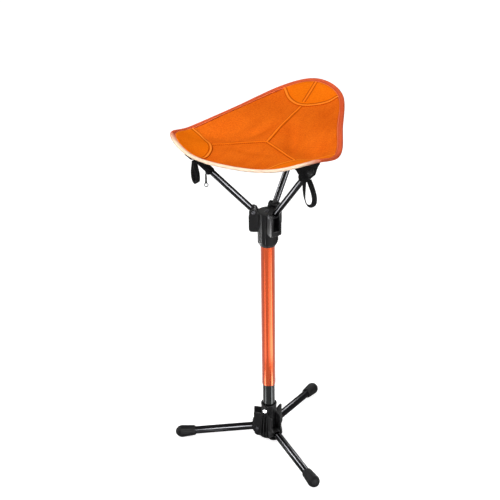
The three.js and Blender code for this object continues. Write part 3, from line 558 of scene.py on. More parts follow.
def screw(name, top, length, upside, body, node):
    place = post @ Matrix.Translation((0, 0, top * MM))
    if upside:
        place = place @ Matrix.Rotation(math.pi, 4, "X")
    profile = [(0, -length), (2, -length, 0.4), (2, -2.6), (5, -2.6, 0.3), (5, -1.2, 1.2)]
    head = turned_piece(name, profile + [(3.2, 0, 0.8), (0, 0.1)], 48, place)
    bars = []
    for a in (0.1, math.pi / 2 + 0.1):
        turned = place @ Matrix.Rotation(a, 4, "Z")
        bars.append(together("bar", block((-2.6, 2.6), (-0.5, 0.5), (-1.2, 1), turned)))
    finished(cut(head, *bars), dark_steel, body, node)


dark_steel = grained((26, 26, 28), (38, 38, 40), 0.5, 500)
dark_steel = material("dark_steel", dark_steel, {"Metallic": 1.0})
screw("cover_screw_head", 10.55, 24, True, "base", "cover_screw")
screw("hub_screw_head", 536.9, 30, False, "upper", "hub_screw")


# Legs: a moulded root with its eye between the cheeks, a riveted pin, an anodised tube and a
# ribbed rubber foot pushed over its end, flat where it stands.
def limb_axis(side, radius, height, elevation):
    """Places a shape made along Z at a limb's pin, pointing outward and up by an angle."""
    lean = Matrix.Rotation(math.pi / 2 - math.radians(elevation), 4, "Y")
    return limb(side) @ moved(radius, 0, height) @ lean


def rivet(name, side, radius, height, half, body, node):
    head = [(2.5, half), (4, half), (4, half + 0.5, 0.5), (2.6, half + 1.5, 1.0), (0, half + 1.5)]
    profile = [(r, -z, *edge) for r, z, *edge in reversed(head)] + head
    made = turned_piece(name, profile, 32, across(radius, height, side))
    finished(made, dark_steel, body, node)


def root(name, side, radius, height, elevation, size, start, width, body, node):
    eye = [(0, -width / 2), (size, -width / 2, 0.8), (size, width / 2, 0.8), (0, width / 2)]
    stem = [(0, 0), (size - 0.3, 0), (size - 0.3, start - 2.2, 0.3), (size + 0.2, start - 1.6, 0.4)]
    stem += [(size + 0.2, start - 0.3, 0.4), (size - 2, start - 0.3), (0, start - 0.3)]
    made = together(
        name,
        lathe(eye, sides=48, place=across(radius, height, side)),
        lathe(stem, sides=48, place=limb_axis(side, radius, height, elevation)),
    )
    finished(made, black_plastic, body, node)


black_tube = material(
    "black_tube",
    drawn_metal((20, 20, 21), (27, 27, 28)),
    {"Metallic": 1.0, "Specular Tint": coloured(190, 190, 190)},
)
rubber = material(
    "rubber",
    grained((16, 16, 17), (26, 26, 27), 0.36, 700, 0.00012),
    {"Specular IOR Level": 0.03},
)
LEG_LENGTH = 171.4 / math.cos(math.radians(DROOP))
FOOT = [(8.2, -42), (9.2, -42, 0.8), (10.6, -39.5, 2.0), (12.75, -12.5, 4.0)]
FOOT += [(11.0, -6.6, 2.5), (6.2, -1.4, 2.0), (3.0, 0, 1.5), (0, 0)]
for side in AZIMUTHS:
    body = f"leg_{side}"
    axis = limb_axis(side, LEG_PIN, LEG_PIN_Z, -DROOP)
    root(f"leg_eye_{side}", side, LEG_PIN, LEG_PIN_Z, -DROOP, 8, 10, 16.4, body, f"leg_root_{side}")
    rivet(f"leg_rivet_{side}", side, LEG_PIN, LEG_PIN_Z, 12.8, "base", f"leg_pin_{side}")
    tube = hollow(f"leg_tube_{side}_anodised", 6.7, 8, 10, LEG_LENGTH - 12.3, axis)
    finished(tube, black_tube, body, f"leg_tube_{side}")
    profile = [(radius, LEG_LENGTH + back, *edge) for radius, back, *edge in FOOT]
    points, faces = lathe(profile, sides=144, place=axis, ribs=24, rib_depth=0.45)
    grounded = [(p.x, p.y, max(p.z, 0)) for p in points]
    foot = together(f"leg_foot_{side}_rubber", (grounded, faces), sharp=50)
    finished(foot, rubber, body, f"leg_foot_{side}")

# Snap button: a bright turned steel pin with a domed end that stands out of the collar's front,
# pushed out by the leaf spring behind it.
steel = grained((225, 225, 228), (240, 240, 242), 0.18, 500)
steel = material("steel", steel, {"Metallic": 1.0})
profile = [(0, 9.9), (4.6, 9.9, 0.3), (4.6, 17.2, 1.6), (2.4, 18.4, 1.5), (0, 18.5)]
button = turned_piece("snap_button_dome", profile, 48, across(0, BUTTON_Z, "rear", -90))
finished(button, steel, "snap_button", "snap_button")

# Seat hub: a black moulded cap over the orange tube with a chamfered mouth, ribs, and three
# pairs of cheeks, each rounded over its arm's pin, with the core cut back between them.
HUB_LOW, HUB_TOP = 462.22, 535.22
ARM_PIN, ARM_PIN_Z = 26.3, 536.42
profile = [(14.3, HUB_LOW), (15.5, HUB_LOW, 0.6), (19.35, HUB_LOW + 7, 1.5), (19.35, HUB_TOP, 1.2)]
profile += [(5.3, HUB_TOP, 0.4), (5.3, HUB_TOP - 1.2), (0, HUB_TOP - 1.2), (0, HUB_TOP - 14.7)]
profile += [(14.3, HUB_TOP - 14.7), (14.3, HUB_LOW)]
core = turned_piece("seat_core", profile, 96, post)
slots = [block((19.7, 40), (-6.5, 6.5), (455, 560), limb(side)) for side in AZIMUTHS]
core = cut(core, together("slots", *slots))
EAR, EAR_LOW = 7.5, HUB_TOP - 40.5
arc = [math.radians(a) for a in range(0, 181, 15)]
ear = [(ARM_PIN + EAR * math.cos(a), ARM_PIN_Z + EAR * math.sin(a)) for a in arc]
ear = [(15, EAR_LOW), (35.8, EAR_LOW, 7), (35.8, HUB_TOP - 7, 2.5), *ear, (15, HUB_TOP - 1.5)]
ear = rounded(ear, closed=True)
sill = [(15, HUB_TOP - 41.5), (34, HUB_TOP - 41.5, 4), (34, HUB_TOP - 30, 2), (15, HUB_TOP - 24)]
sill = rounded(sill, closed=True)
rib = [(16, HUB_LOW + 9), (20.6, HUB_LOW + 9, 1.5), (20.6, HUB_TOP - 3, 1.5), (16, HUB_TOP - 3)]
rib = rounded(rib, closed=True)
shells = []
for side in AZIMUTHS:
    for low, high in ((-11, -6.5), (6.5, 11)):
        shells.append(slab(ear, low, high, 0.9, limb(side)))
    shells.append(slab(sill, -7, 7, 0.5, limb(side)))
    for extra in (38, 60, 82):
        shells.append(slab(rib, -1.4, 1.4, 0.7, limb(side, extra)))
seat_hub = merged("seat_hub_moulding", core, together("seat_cheeks", *shells))
finished(seat_hub, black_plastic, "upper", "seat_hub")

# Arms: a moulded root, a riveted pin and a thin anodised tube, each with its own length and
# rise, because the seat stands higher at the rear.
ARM_RISE = {"rear": 50, "left": 46, "right": 48.7}
ARM_LENGTH = {"rear": 236, "left": 192, "right": 203}
for side in AZIMUTHS:
    body = f"arm_{side}"
    rise = ARM_RISE[side]
    axis = limb_axis(side, ARM_PIN, ARM_PIN_Z, rise)
    root(f"arm_eye_{side}", side, ARM_PIN, ARM_PIN_Z, rise, 6, 9, 12.4, body, f"arm_root_{side}")
    rivet(f"arm_rivet_{side}", side, ARM_PIN, ARM_PIN_Z, 11.3, "upper", f"arm_pin_{side}")
    tube = hollow(f"arm_tube_{side}_anodised", 5, 6, 9, ARM_LENGTH[side] - 4.3, axis)
    finished(tube, black_tube, body, f"arm_tube_{side}")

# Seat surface, shared by all the sewn pieces: twelve stations round the rim, anticlockwise from
# the rear corner, each with its turn, its reach as a share of the corners' and the rise at four
# places on the way out. u counts stations, and t is the share of the way out.
SEAT_RINGS = (0, 0.35, 0.65, 0.85, 1)
SEAT_LEAN = math.tan(math.radians(3.2))
FOLD = (73, 150)


def bearing(degrees):
    a = math.radians(degrees)
    return math.cos(a), math.sin(a)


def beside_arm(side, along, off):
    """A place in the upright plane of an arm, some way along it and above its axis."""
    c, s = bearing(ARM_RISE[side])
    return np.array([ARM_PIN + along * c - off * s, 0, ARM_PIN_Z + along * s + off * c])


# How far the seat's corners lie beyond the arms' tips and above them.
FRONT_BEYOND, FRONT_ABOVE, REAR_BEYOND, REAR_ABOVE = 19, 21.7, 16.7, 19.4
tips = {side: beside_arm(side, ARM_LENGTH[side], 0) for side in AZIMUTHS}
front_rise = 26.4
seat_z = (tips["left"][2] + tips["right"][2]) / 2 + FRONT_ABOVE - front_rise
rear_rise = tips["rear"][2] + REAR_ABOVE - seat_z
front_reach = (tips["left"][0] + tips["right"][0]) / 2 + FRONT_BEYOND
rear_reach = tips["rear"][0] + REAR_BEYOND
side_reach, side_rise = (rear_reach + front_reach) / 2, (rear_rise + front_rise) / 2


def station(turned, reach, rises):
    c, s = bearing(90 + turned)
    return [reach * c, reach * s, *rises]


half = [
    (20.7, 0.941 * rear_reach, [s * rear_rise for s in (0.2, 0.36, 0.5, 0.77)]),
    (60, 0.749 * side_reach, [s * side_rise for s in (0.07, 0.25, 0.5, 0.55)]),
    (96.2, 0.915 * front_reach, [s * front_rise for s in (-0.05, -0.21, 0.17, 0.42)]),
    (120, front_reach, [s * front_rise for s in (0, 0.03, 0.44, 1)]),
    (146, 0.879 * front_reach, [s * front_rise for s in (-0.04, -0.06, 0.05, 0.44)]),
]
RIM = np.array(
    [station(0, rear_reach, [s * rear_rise for s in (0.28, 0.44, 0.74, 1)])]
    + [station(*row) for row in half]
    + [station(180, 0.812 * front_reach, [s * front_rise for s in (-0.13, -0.17, 0.06, 0.39)])]
    + [station(-a, *rest) for a, *rest in reversed(half)]
)
STATION = {"rear": 0, "left": 4, "right": 8}


def around(k, u):
    i = np.floor(u).astype(int)
    f = u - i
    a, b, c, d = (RIM[(i + j) % 12, k] for j in (-1, 0, 1, 2))
    return b + f / 2 * (c - a + f * (2 * a - 5 * b + 4 * c - d + f * (3 * (b - c) + d - a)))


def rise_at(u, t):
    values = [0 * u] + [around(k, u) for k in (2, 3, 4, 5)]
    spans = np.diff(SEAT_RINGS)
    chords = [(values[i + 1] - values[i]) / spans[i] for i in range(4)]
    slopes = [chords[0], *((chords[i] + chords[i + 1]) / 2 for i in range(3)), chords[3]]
    result = values[4] + slopes[4] * (t - 1)
    for i in range(4):
        f = (t - SEAT_RINGS[i]) / spans[i]
        curve = values[i] * (1 + 2 * f) * (1 - f) ** 2 + values[i + 1] * f * f * (3 - 2 * f)
        curve += slopes[i] * spans[i] * f * (1 - f) ** 2
        curve -= slopes[i + 1] * spans[i] * f * f * (1 - f)
        result = np.where((t >= SEAT_RINGS[i]) & (t < SEAT_RINGS[i + 1]), curve, result)
    return result


def seat_point(u, t):
    x, y = t * around(0, u), t * around(1, u)
    return np.stack([x, y, seat_z + rise_at(u, t) + x * SEAT_LEAN], axis=-1)


def lifted(u, t, lift):
    """Points some millimetres above the seat surface, measured square to it."""
    u, t, lift = np.broadcast_arrays(*(np.asarray(v, float) for v in (u, t, lift)))
    e = 1e-3
    outward = seat_point(u, t + e) - seat_point(u, t - e)
    round_it = seat_point(u + e, t) - seat_point(u - e, t)
    normal = np.cross(outward, round_it)
    normal /= np.linalg.norm(normal, axis=-1, keepdims=True)
    return seat_point(u, t) + normal * lift[..., None]


def share_at(u, inset):
    """The share of the way out that lies some millimetres inside the rim."""
    outward = (seat_point(u, 1 + 1e-3) - seat_point(u, 1 - 1e-3)) / 2e-3
    return 1 - inset / np.linalg.norm(outward, axis=-1)


turns = np.linspace(-6, 18, 4801)
headings = np.unwrap(np.arctan2(around(1, turns), around(0, turns)))


def seat_under(x, y):
    """Station and share of the seat's point over x and y, which are from the post's axis."""
    heading = np.arctan2(y, x)
    middle = headings[len(headings) // 2]
    heading = heading + 2 * math.pi * np.round((middle - heading) / (2 * math.pi))
    u = np.interp(heading, headings, turns)
    return u, np.hypot(x, y) / np.hypot(around(0, u), around(1, u))


def sewn(name, sections, maps, finish, body=None, ends=True):
    """A closed cloth shell over sections, an array (count + 2, points, 3) in millimetres from
    the post's axis, whose first and last section only say how the shell would go on. Each
    section runs out on one face and back on the other. maps are the cloth map's two lengths at
    each point. finish is a material, or a list of them and a function that says which one the
    faces at a place along the section take."""
    inner = sections[1:-1]
    count, size = inner.shape[:2]
    points = inner.reshape(-1, 3) * MM + np.array(POST)
    faces, spots = between(count, size), list(range(size)) * (count - 1)
    if ends:
        for i in (0, count - 1):
            for j in range(size // 2 - 1):
                n = size - 1 - j
                quad = [i * size + k for k in (j, j + 1, n - 1, n)]
                faces.append(quad if i else quad[::-1])
                spots.append(j)
    mesh = bpy.data.meshes.new(name)
    mesh.from_pydata([tuple(p) for p in points], [], faces)
    layer = mesh.uv_layers.new(name="cloth")
    flat = maps[1:-1].reshape(-1, 2) * MM
    for loop in mesh.loops:
        layer.data[loop.index].uv = flat[loop.vertex_index]
    welded(mesh, 0)
    finishes = finish[0] if isinstance(finish, tuple) else [finish]
    for polygon in mesh.polygons:
        polygon.use_smooth = True
        if isinstance(finish, tuple):
            polygon.material_index = finish[1](spots[polygon.index])
    along = sections[2:] - sections[:-2]
    across_it = np.roll(inner, -1, 1) - np.roll(inner, 1, 1)
    normals = np.cross(across_it, along)
    lengths = np.linalg.norm(normals, axis=-1, keepdims=True)
    normals = np.where(lengths > 1e-9, normals / np.maximum(lengths, 1e-9), 0)
    normals[1:-1] = 0
    outside = Vector(normals[0][size // 4]).dot(mesh.vertices[size // 4].normal)
    if outside < 0:
        normals = -normals
    if ends:
        mesh.normals_split_custom_set_from_vertices([tuple(n) for n in normals.reshape(-1, 3)])
    for each in finishes:
        mesh.materials.append(each)
    obj = shown(name, mesh)
    if body:
        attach(obj, body)
    return obj


def both_faces(out, back=None):
    """Rows that run out along one face of the cloth and back along the other."""
    return np.concatenate([out, (out if back is None else back)[:, ::-1]], axis=1)


def arc_lengths(line):
    steps = np.linalg.norm(np.diff(line, axis=0), axis=-1)
    return np.concatenate([[0], np.cumsum(steps)])


def folds_with(obj, side):
    """Bakes the cloth's placement into its mesh. The two ends of its fold along the arm are worked
    out but not used.
    """
    way = Vector((*bearing(AZIMUTHS[side]), 0))
    start, end = (POST + way * r * MM + Vector((0, 0, seat_z * MM)) for r in FOLD)
    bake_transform(obj)


# Seat cloth: three panels sewn along the arms. Each piece here is the cloth round one arm, half
# of two panels. It is orange on top and pale underneath.
SEAT_HALF = 1.5
CREASES = ((90, -30, 5.5), (210, 90, 4.5), (330, 210, 2.0))
CREASE_REACH, CREASE_WIDTH = 92, 10
STEPS_ROUND = 12
UNDER_BINDING = (11.8, 6, 1.3)
tops = np.concatenate([[0.012], np.linspace(0.05, 0.9, 24)])


def creases(u, t):
    """Shallow folds in the cloth, in millimetres: a pull between each two patches, from one
    arm's heading to another's, with its depth."""
    lift = 0.35 * np.sin(2.1 * np.mod(u, 12) + 5 * t) * np.sin(math.pi * t) ** 2
    x, y = t * around(0, u), t * around(1, u)
    for *headed, depth in CREASES:
        a, b = (np.array(bearing(degrees)) * CREASE_REACH for degrees in headed)
        way = (b - a) / np.linalg.norm(b - a)
        along = (x - a[0]) * way[0] + (y - a[1]) * way[1]
        off = (x - a[0]) * -way[1] + (y - a[1]) * way[0]
        share = np.clip(along / np.linalg.norm(b - a), 0, 1)
        pull = depth * np.exp(-((off / CREASE_WIDTH) ** 2))
        lift = lift - pull * (4 * share * (1 - share)) ** 1.3
    return lift


def woven(w, pitch):
    """Threads of a plain weave on the cloth map, and the map's two coordinates."""
    place = w.add("SeparateXYZ", {}, {0: w.add("UVMap", {"uv_map": "cloth"})}).outputs()
    along, across = place["X"], place["Y"]
    turns = 2 * math.pi / pitch
    threads = w.maths("SINE", along * turns) * w.maths("SINE", across * turns)
    return threads, along, across


def cloth(low, high, pitch=0.0009, depth=0.0001):
    """Woven cloth, a little mottled and streaked."""

    def paint(w):
        threads, _, _ = woven(w, pitch)
        shade = w.noise(9, 4)
        streak = w.noise(60, 3, (1, 0.3, 1))
        grain = w.noise(420, 3)
        tone = shade * 0.5 + streak * 0.4 + grain * 1.1 + threads * 0.05 - 0.5
        height = threads + streak + grain
        return {"Base Color": tone.mix(low, high), "Normal": height.bump(depth)}

    return paint


def round_corner(side):
    """Stations from the middle of one edge to the next, round an arm's tip, and one beyond."""
    u = STATION[side] + np.linspace(-2, 2, 4 * STEPS_ROUND + 1)
    return np.concatenate([[u[0] - 1 / STEPS_ROUND], u, [u[-1] + 1 / STEPS_ROUND]])[:, None]


CLOTH = {"Roughness": 0.85, "Specular IOR Level": 0.0}
orange_cloth = material("orange_cloth", cloth((210, 78, 8), (255, 128, 30)), CLOTH)
lining = material("lining", cloth((244, 214, 178), (252, 232, 204)), CLOTH)
seat_cloth, seat_bindings, seat_patches, seat_seams = {}, {}, {}, {}
for side in AZIMUTHS:
    u = round_corner(side)
    t = [np.broadcast_to(tops, (len(u), len(tops)))]
    t = np.concatenate(t + [share_at(u, inset) for inset in UNDER_BINDING], axis=1)
    wave = creases(u, t)
    top = lifted(u, t, SEAT_HALF + wave)
    bottom = lifted(u, t, -SEAT_HALF + wave * 0.5)
    sections = both_faces(top, bottom)
    count = t.shape[1]
    obj = sewn(
        f"seat_cloth_{side}",
        sections,
        sections[..., :2],
        ([orange_cloth, lining], lambda j, n=count: 0 if j < n else 1),
    )
    folds_with(obj, side)
    seat_cloth[side] = obj
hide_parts("seat_panel_left")
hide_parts("seat_panel_front")
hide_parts("seat_panel_right")

# Edge binding: a folded tape sewn over the rim, rounded where it turns, with two rows of
# stitches near its inner edge. Along the front it is painted pale, as painted light where light
# washes over the edge.
# The pale tone of the painted light that washes the seat's front edge.
PAINTED_LIGHT_TONE = (252, 222, 194)
STITCH = 0.0036


def front_painted_light(w):
    """How much painted light the seat's front edge takes, by its place along the rim."""
    toward_back = w.add("SeparateXYZ", {}, {0: w.add("TexCoord", output=3)}).outputs()["Y"]
    front = (toward_back * -1 - 0.107) / 0.028 + (w.noise(70, 3) - 0.5) * 0.9
    return front.clamped()


def rim_painted_light(w, across):
    """How much painted light the tape takes: along the front, most of all where it turns under."""
    return front_painted_light(w) * (1.3 - across / 0.012).clamped()


def stitched(low, high, lines, painted_light=None):
    """Cloth with lines of stitches, painted shadows and painted highlights, each (distance across,
    half width, colour, depth).
    """

    def paint(w):
        threads, along, across = woven(w, 0.0009)
        grain = w.noise(420, 3)
        colour = (w.noise(9, 4) * 0.5 + grain - 0.25 + threads * 0.06).mix(low, high)
        height = threads * 0.08
        dash = (along % STITCH) < STITCH * 0.72
        for place, half, tone, depth in lines:
            line = across.near(place, half)
            colour = (line * (0.55 + dash * 0.45)).mix(colour, tone)
            height = height - line * depth * (0.5 + dash * 0.5)
        # Painted light: toward the front the colour runs to a pale tone.
        if painted_light:
            colour = painted_light(w, across).mix(colour, PAINTED_LIGHT_TONE)
        return {"Base Color": colour, "Normal": height.bump(0.0006)}

    return paint


# The first line is stitches darkened with painted shadow where the tape's inner edge meets the
# seat, the second a painted highlight along the tape's raised edge, and the third stitches.
BINDING_LINES = [
    (0.0113, 0.0012, (176, 60, 20), 0.8),
    (0.0094, 0.0009, (246, 140, 84), -0.3),
    (0.0078, 0.0008, (196, 70, 40), 0.5),
]
binding_cloth = stitched((206, 74, 36), (228, 110, 70), BINDING_LINES, rim_painted_light)
binding_cloth = material("binding_cloth", binding_cloth, CLOTH)
over = [(11.5, 1.6), (11.4, 2.3), (10.9, 2.65), (10.2, 2.75), (9.5, 2.5), (8.8, 2.8), (7.0, 3.0)]
over += [(5.0, 3.05), (3.0, 2.95), (1.6, 2.6), (0.6, 1.9), (0.1, 0.95), (0.0, 0.0)]
outline = np.array(over + [(a, -b) for a, b in over[-2::-1]])
lining_line = np.array([(min(a + 0.9, 11.4) if abs(b) < 2 else a, b * 0.62) for a, b in outline])
ring = np.concatenate([outline, lining_line[::-1]])
for side in AZIMUTHS:
    u = round_corner(side)
    grid_u = np.repeat(u, len(ring), axis=1)
    inset, lift = (np.broadcast_to(ring[:, k], grid_u.shape) for k in (0, 1))
    wobble = 1 + 0.05 * np.sin(grid_u * 23) * np.sin(grid_u * 7.3)
    sections = lifted(grid_u, share_at(grid_u, inset), lift * wobble)
    u = u[:, 0]
    travel = arc_lengths(seat_point(u, np.ones_like(u)))
    maps = np.stack([np.broadcast_to(travel[:, None], grid_u.shape), inset], axis=-1)
    obj = sewn(f"edge_binding_{side}", sections, maps, binding_cloth)
    folds_with(obj, side)
    seat_bindings[side] = obj
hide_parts("edge_binding")

# Corner patches: a lens of doubled cloth over each corner, its inner edge turned under and
# sewn down with two rows of stitches. The span is in stations to either side of the arm, and
# the bulge is how deep and how full the inner edge bows toward the post.
PATCH_SPAN = {"rear": (1, 1), "left": (1, 1.27), "right": (1.27, 1)}
PATCH_BULGE = {"rear": (36.3, 1.25), "left": (27.5, 1.0), "right": (25.0, 1.0)}
PATCH_UNDER, HEM, PATCH_STITCH = 1.6, 1.6, 6.2
DARK_STITCH = (168, 50, 0)
# The middle line is a painted highlight along the rolled hem, between the two rows of stitches.
PATCH_LINES = [
    (0.0004, 0.0016, (176, 56, 0), 0.5),
    (0.0036, 0.0022, (255, 150, 56), -0.3),
    (0.0070, 0.0015, DARK_STITCH, 0.8),
]


def patch_painted_light(w, across):
    """How much painted light the front right patch takes: along its outer edge, where it meets the
    tape.
    """
    to_rim = w.add("Attribute", {"attribute_name": "to_rim"}, output=2)
    spread = (0.031 - to_rim) / 0.017 + (w.noise(90, 3) - 0.5) * 0.6
    return front_painted_light(w) * spread.clamped() * 0.8


def patch_edge(side):
    """Headings from the arm, and reach, of points on a patch's inner edge, seen from above."""
    u = STATION[side] + np.array(PATCH_SPAN[side]) * (-1, 1)
    ends = seat_point(u, share_at(u, 12.1))[:, :2]
    c, s = bearing(AZIMUTHS[side])
    along = ends @ np.array([[c, -s], [s, c]])
    f = np.linspace(-1, 1, 241)[:, None]
    depth, power = PATCH_BULGE[side]
    bow = along[0] * (1 - f) / 2 + along[1] * (1 + f) / 2
    bow[:, 0] -= depth * (1 - f[:, 0] ** 2) ** power
    return np.arctan2(bow[:, 1], bow[:, 0]), np.hypot(bow[:, 0], bow[:, 1])


def nearest_on(line, points):
    """Distance from points to a line of points, and how far along it the nearest one is."""
    along = arc_lengths(line)
    gaps = np.linalg.norm(points[..., None, :] - line, axis=-1)
    return gaps.min(axis=-1), along[gaps.argmin(axis=-1)]


patch_look = ((226, 92, 4), (255, 134, 20), PATCH_LINES)
patch_cloth = material("patch_cloth", stitched(*patch_look), CLOTH)
# The front right patch also takes painted light along its outer edge, where it meets the tape.
patch_cloth_painted_light = material("patch_cloth_painted_light", stitched(*patch_look, patch_painted_light), CLOTH)
for side in AZIMUTHS:
    away = np.sin(np.linspace(-math.pi / 2, math.pi / 2, 61)) * 0.994
    away = np.concatenate([[away[0] * 1.0001], away, [away[-1] * 1.0001]])
    u = STATION[side] + away * np.where(away < 0, *PATCH_SPAN[side])
    edge = share_at(u, 10.0)
    heading = np.arctan2(around(1, u), around(0, u)) - math.radians(AZIMUTHS[side])
    heading = np.mod(heading + math.pi, 2 * math.pi) - math.pi
    reach = np.interp(heading, *patch_edge(side)) / np.hypot(around(0, u), around(1, u))
    deep = np.minimum(reach, share_at(u, 12.9))
    f = np.concatenate([[0, 0.004, 0.02], np.linspace(0.06, 1, 20)])
    t = deep[:, None] + (edge - deep)[:, None] * f
    grid_u = np.repeat(u[:, None], len(f), axis=1)
    hem_line = lifted(u, deep, SEAT_HALF)
    distance, travel = nearest_on(hem_line, lifted(grid_u, t, SEAT_HALF))
    rolled = np.clip(distance / HEM, 0, 1)
    raised_by = 0.35 + 1.05 * np.sqrt(np.clip(rolled * (2 - rolled), 0, 1))
    raised_by -= 0.35 * np.exp(-(((distance - PATCH_STITCH) / 0.9) ** 2))
    top = lifted(grid_u, t, PATCH_UNDER + raised_by + creases(grid_u, t))
    bottom = lifted(grid_u, t, PATCH_UNDER + creases(grid_u, t))
    maps = both_faces(np.stack([travel, distance], axis=-1))
    finish = patch_cloth_painted_light if side == "right" else patch_cloth
    obj = sewn(f"corner_patch_{side}_cloth", both_faces(top, bottom), maps, finish)
    to_rim = (1 - t) / (1 - share_at(u, 1.0))[:, None]
    to_rim = both_faces(to_rim)[1:-1].ravel() * MM
    obj.data.attributes.new("to_rim", "FLOAT", "POINT").data.foreach_set("value", to_rim)
    folds_with(obj, side)
    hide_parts(f"corner_patch_{side}")
    seat_patches[side] = obj

# Seams: a raised ridge between two rows of stitches along each arm, from the middle of the
# seat to the patch, and on over the patch at the rear.
# The middle line is a painted highlight along the crown of the ridge, between the two rows of
# stitches.
SEAM_LINES = [
    (0.0011, 0.0017, DARK_STITCH, 0.8),
    (0.0042, 0.0018, (255, 136, 40), 0.0),
    (0.0073, 0.0017, DARK_STITCH, 0.8),
]
seam_cloth = material("seam_cloth", stitched((232, 96, 8), (255, 130, 24), SEAM_LINES), CLOTH)
offs = np.array([-4.2, -3.8, -3.2, -2.6, -1.8, -0.9, 0, 0.9, 1.8, 2.6, 3.2, 3.8, 4.2])
ridge = np.array([0.05, 0.2, 0.12, 0.75, 1.15, 1.35, 1.4, 1.35, 1.15, 0.75, 0.12, 0.2, 0.05])
for side in AZIMUTHS:
    rim_reach = float(np.hypot(*(around(k, np.array(float(STATION[side]))) for k in (0, 1))))
    edge = float(np.interp(0, *patch_edge(side)))
    far = rim_reach - 9 if side == "rear" else edge + 1
    reach = np.linspace(0.5, far, 70)
    reach = np.concatenate([[reach[0] - 1], reach, [reach[-1] + 1]])[:, None]
    c, s = bearing(AZIMUTHS[side])
    u, t = seat_under(reach * c - offs * s, reach * s + offs * c)
    crown = 1 - np.clip((reach - edge + 4) / 4, 0, 0.8)
    on_patch = 0
    if side == "rear":
        on_patch = 1.45 * np.clip((reach - edge - 8) / 2, 0, 1)
    top = lifted(u, t, 1.55 + ridge * crown + on_patch + creases(u, t))
    bottom = lifted(u, t, SEAT_HALF + on_patch + creases(u, t))
    maps = both_faces(np.stack(np.broadcast_arrays(reach, offs + 4.2), axis=-1))
    obj = sewn(f"seat_seam_{side}", both_faces(top, bottom), maps, seam_cloth)
    folds_with(obj, side)
    seat_seams[side] = obj


# Corner pockets: a black cloth sleeve over each arm's tip, gathered round the tube at its lower
# end, which widens to a mouth that is sewn to the seat's underside.
SLEEVE, CAP = 37, 18
POCKET_HALF, POCKET_THICK = 9.5, 1.2
WIDTHS = (11.5, 16, 29)
MOUTH = (4, -32)
GATHERED = 0.22
round_it = np.linspace(0, 2 * math.pi, 73)[:-1]


def seat_height(side, x, y, lift):
    """Height over a place given in an arm's own radial frame, some way above the seat."""
    c, s = bearing(AZIMUTHS[side])
    return seat_point(*seat_under(x * c - y * s, x * s + y * c))[..., 2] + lift


def to_post(side, points):
    """From an arm's own radial frame to the post's."""
    c, s = bearing(AZIMUTHS[side])
    return points @ np.array([[c, -s, 0], [s, c, 0], [0, 0, 1]]).T


black_cloth = material(
    "black_cloth",
    cloth((14, 14, 15), (34, 34, 36), 0.0012, 0.00025),
    {**CLOTH, "Sheen Weight": 0.06},
)
for side in AZIMUTHS:
    low_end, waist = ARM_LENGTH[side] - SLEEVE, ARM_LENGTH[side] - CAP
    rings = [
        [beside_arm(side, along, off) for off in (-POCKET_HALF, POCKET_HALF)]
        for along in (low_end, waist)
    ]
    mouth = [tips[side][0] + x for x in MOUTH]
    rings.append([np.array([x, 0, seat_height(side, x, 0.0, 3)]) for x in mouth])

    def ring_at(s, squeeze=0.0):
        """Points round the pocket at s, from 0 at the lower end through 1 to 2 at the mouth."""
        i = min(int(s), 1)
        f = s - i
        low, high = (rings[i][k] * (1 - f) + rings[i + 1][k] * f for k in (0, 1))
        share = (1 - np.cos(round_it)) / 2
        ring = low + (high - low) * share[:, None]
        ring[:, 1] = (WIDTHS[i] * (1 - f) + WIDTHS[i + 1] * f) * np.sin(round_it)
        centre = ring.mean(axis=0)
        radius = np.linalg.norm(ring - centre, axis=1, keepdims=True)
        return centre + (ring - centre) * (1 - squeeze / radius)

    fine = np.linspace(1, 2, 81)
    walls = np.stack([ring_at(s) for s in fine])
    below = walls[..., 2] < seat_height(side, walls[..., 0], walls[..., 1], -1.9)
    cut_at = fine[np.argmin(below, axis=0) - 1]
    rows, lengths = [], []
    for s in np.concatenate([[0.0, 0.04, 0.12, GATHERED], np.linspace(0.35, 0.95, 5)]):
        gather = max(0.0, 1 - s / GATHERED)
        squeeze = 2.9 * gather**2 + 0.5 * gather
        rows.append(ring_at(s, squeeze))
        lengths.append(s * (waist - low_end))
    for f in np.linspace(0, 1, 16):
        s = 1 + (cut_at - 1) * f
        rows.append(np.stack([ring_at(value)[j] for j, value in enumerate(s)]))
        lengths.append((waist - low_end) + f * 32)
    rows = np.stack(rows)
    lengths = np.array(lengths)
    share = np.linspace(0, 1, len(rows))[:, None]
    centres = rows.mean(axis=1, keepdims=True)
    way = rows - centres
    size = np.linalg.norm(way, axis=-1, keepdims=True)
    drape = 0.55 * np.sin(round_it * 5 + 2.5 * share * math.pi) * np.sin(share * math.pi)
    drape += 0.35 * np.sin(round_it * 9 - 4 * share) * np.sin(share * math.pi) ** 2
    band = 0.5 * np.clip((share - 0.8) / 0.02, 0, 1) * (share < 0.985)
    outer = centres + way * (1 + (drape + band)[..., None] / size)
    inner = centres + way * (1 + (drape - POCKET_THICK)[..., None] / size)
    sections = np.swapaxes(np.concatenate([outer, inner[::-1]]), 0, 1)
    sections = to_post(side, np.concatenate([sections[-1:], sections, sections[:2]]))
    girth = 2 * math.pi * 13 * np.arange(-1, 74) / 72
    along_it = np.concatenate([lengths, lengths[::-1]])
    maps = np.stack(np.broadcast_arrays(girth[:, None], along_it[None]), axis=-1)
    body = f"arm_{side}"
    obj = sewn(f"pocket_cloth_{side}", sections, maps, black_cloth, body, ends=False)
    welded(obj.data, 1e-6)
    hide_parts(f"corner_pocket_{side}")

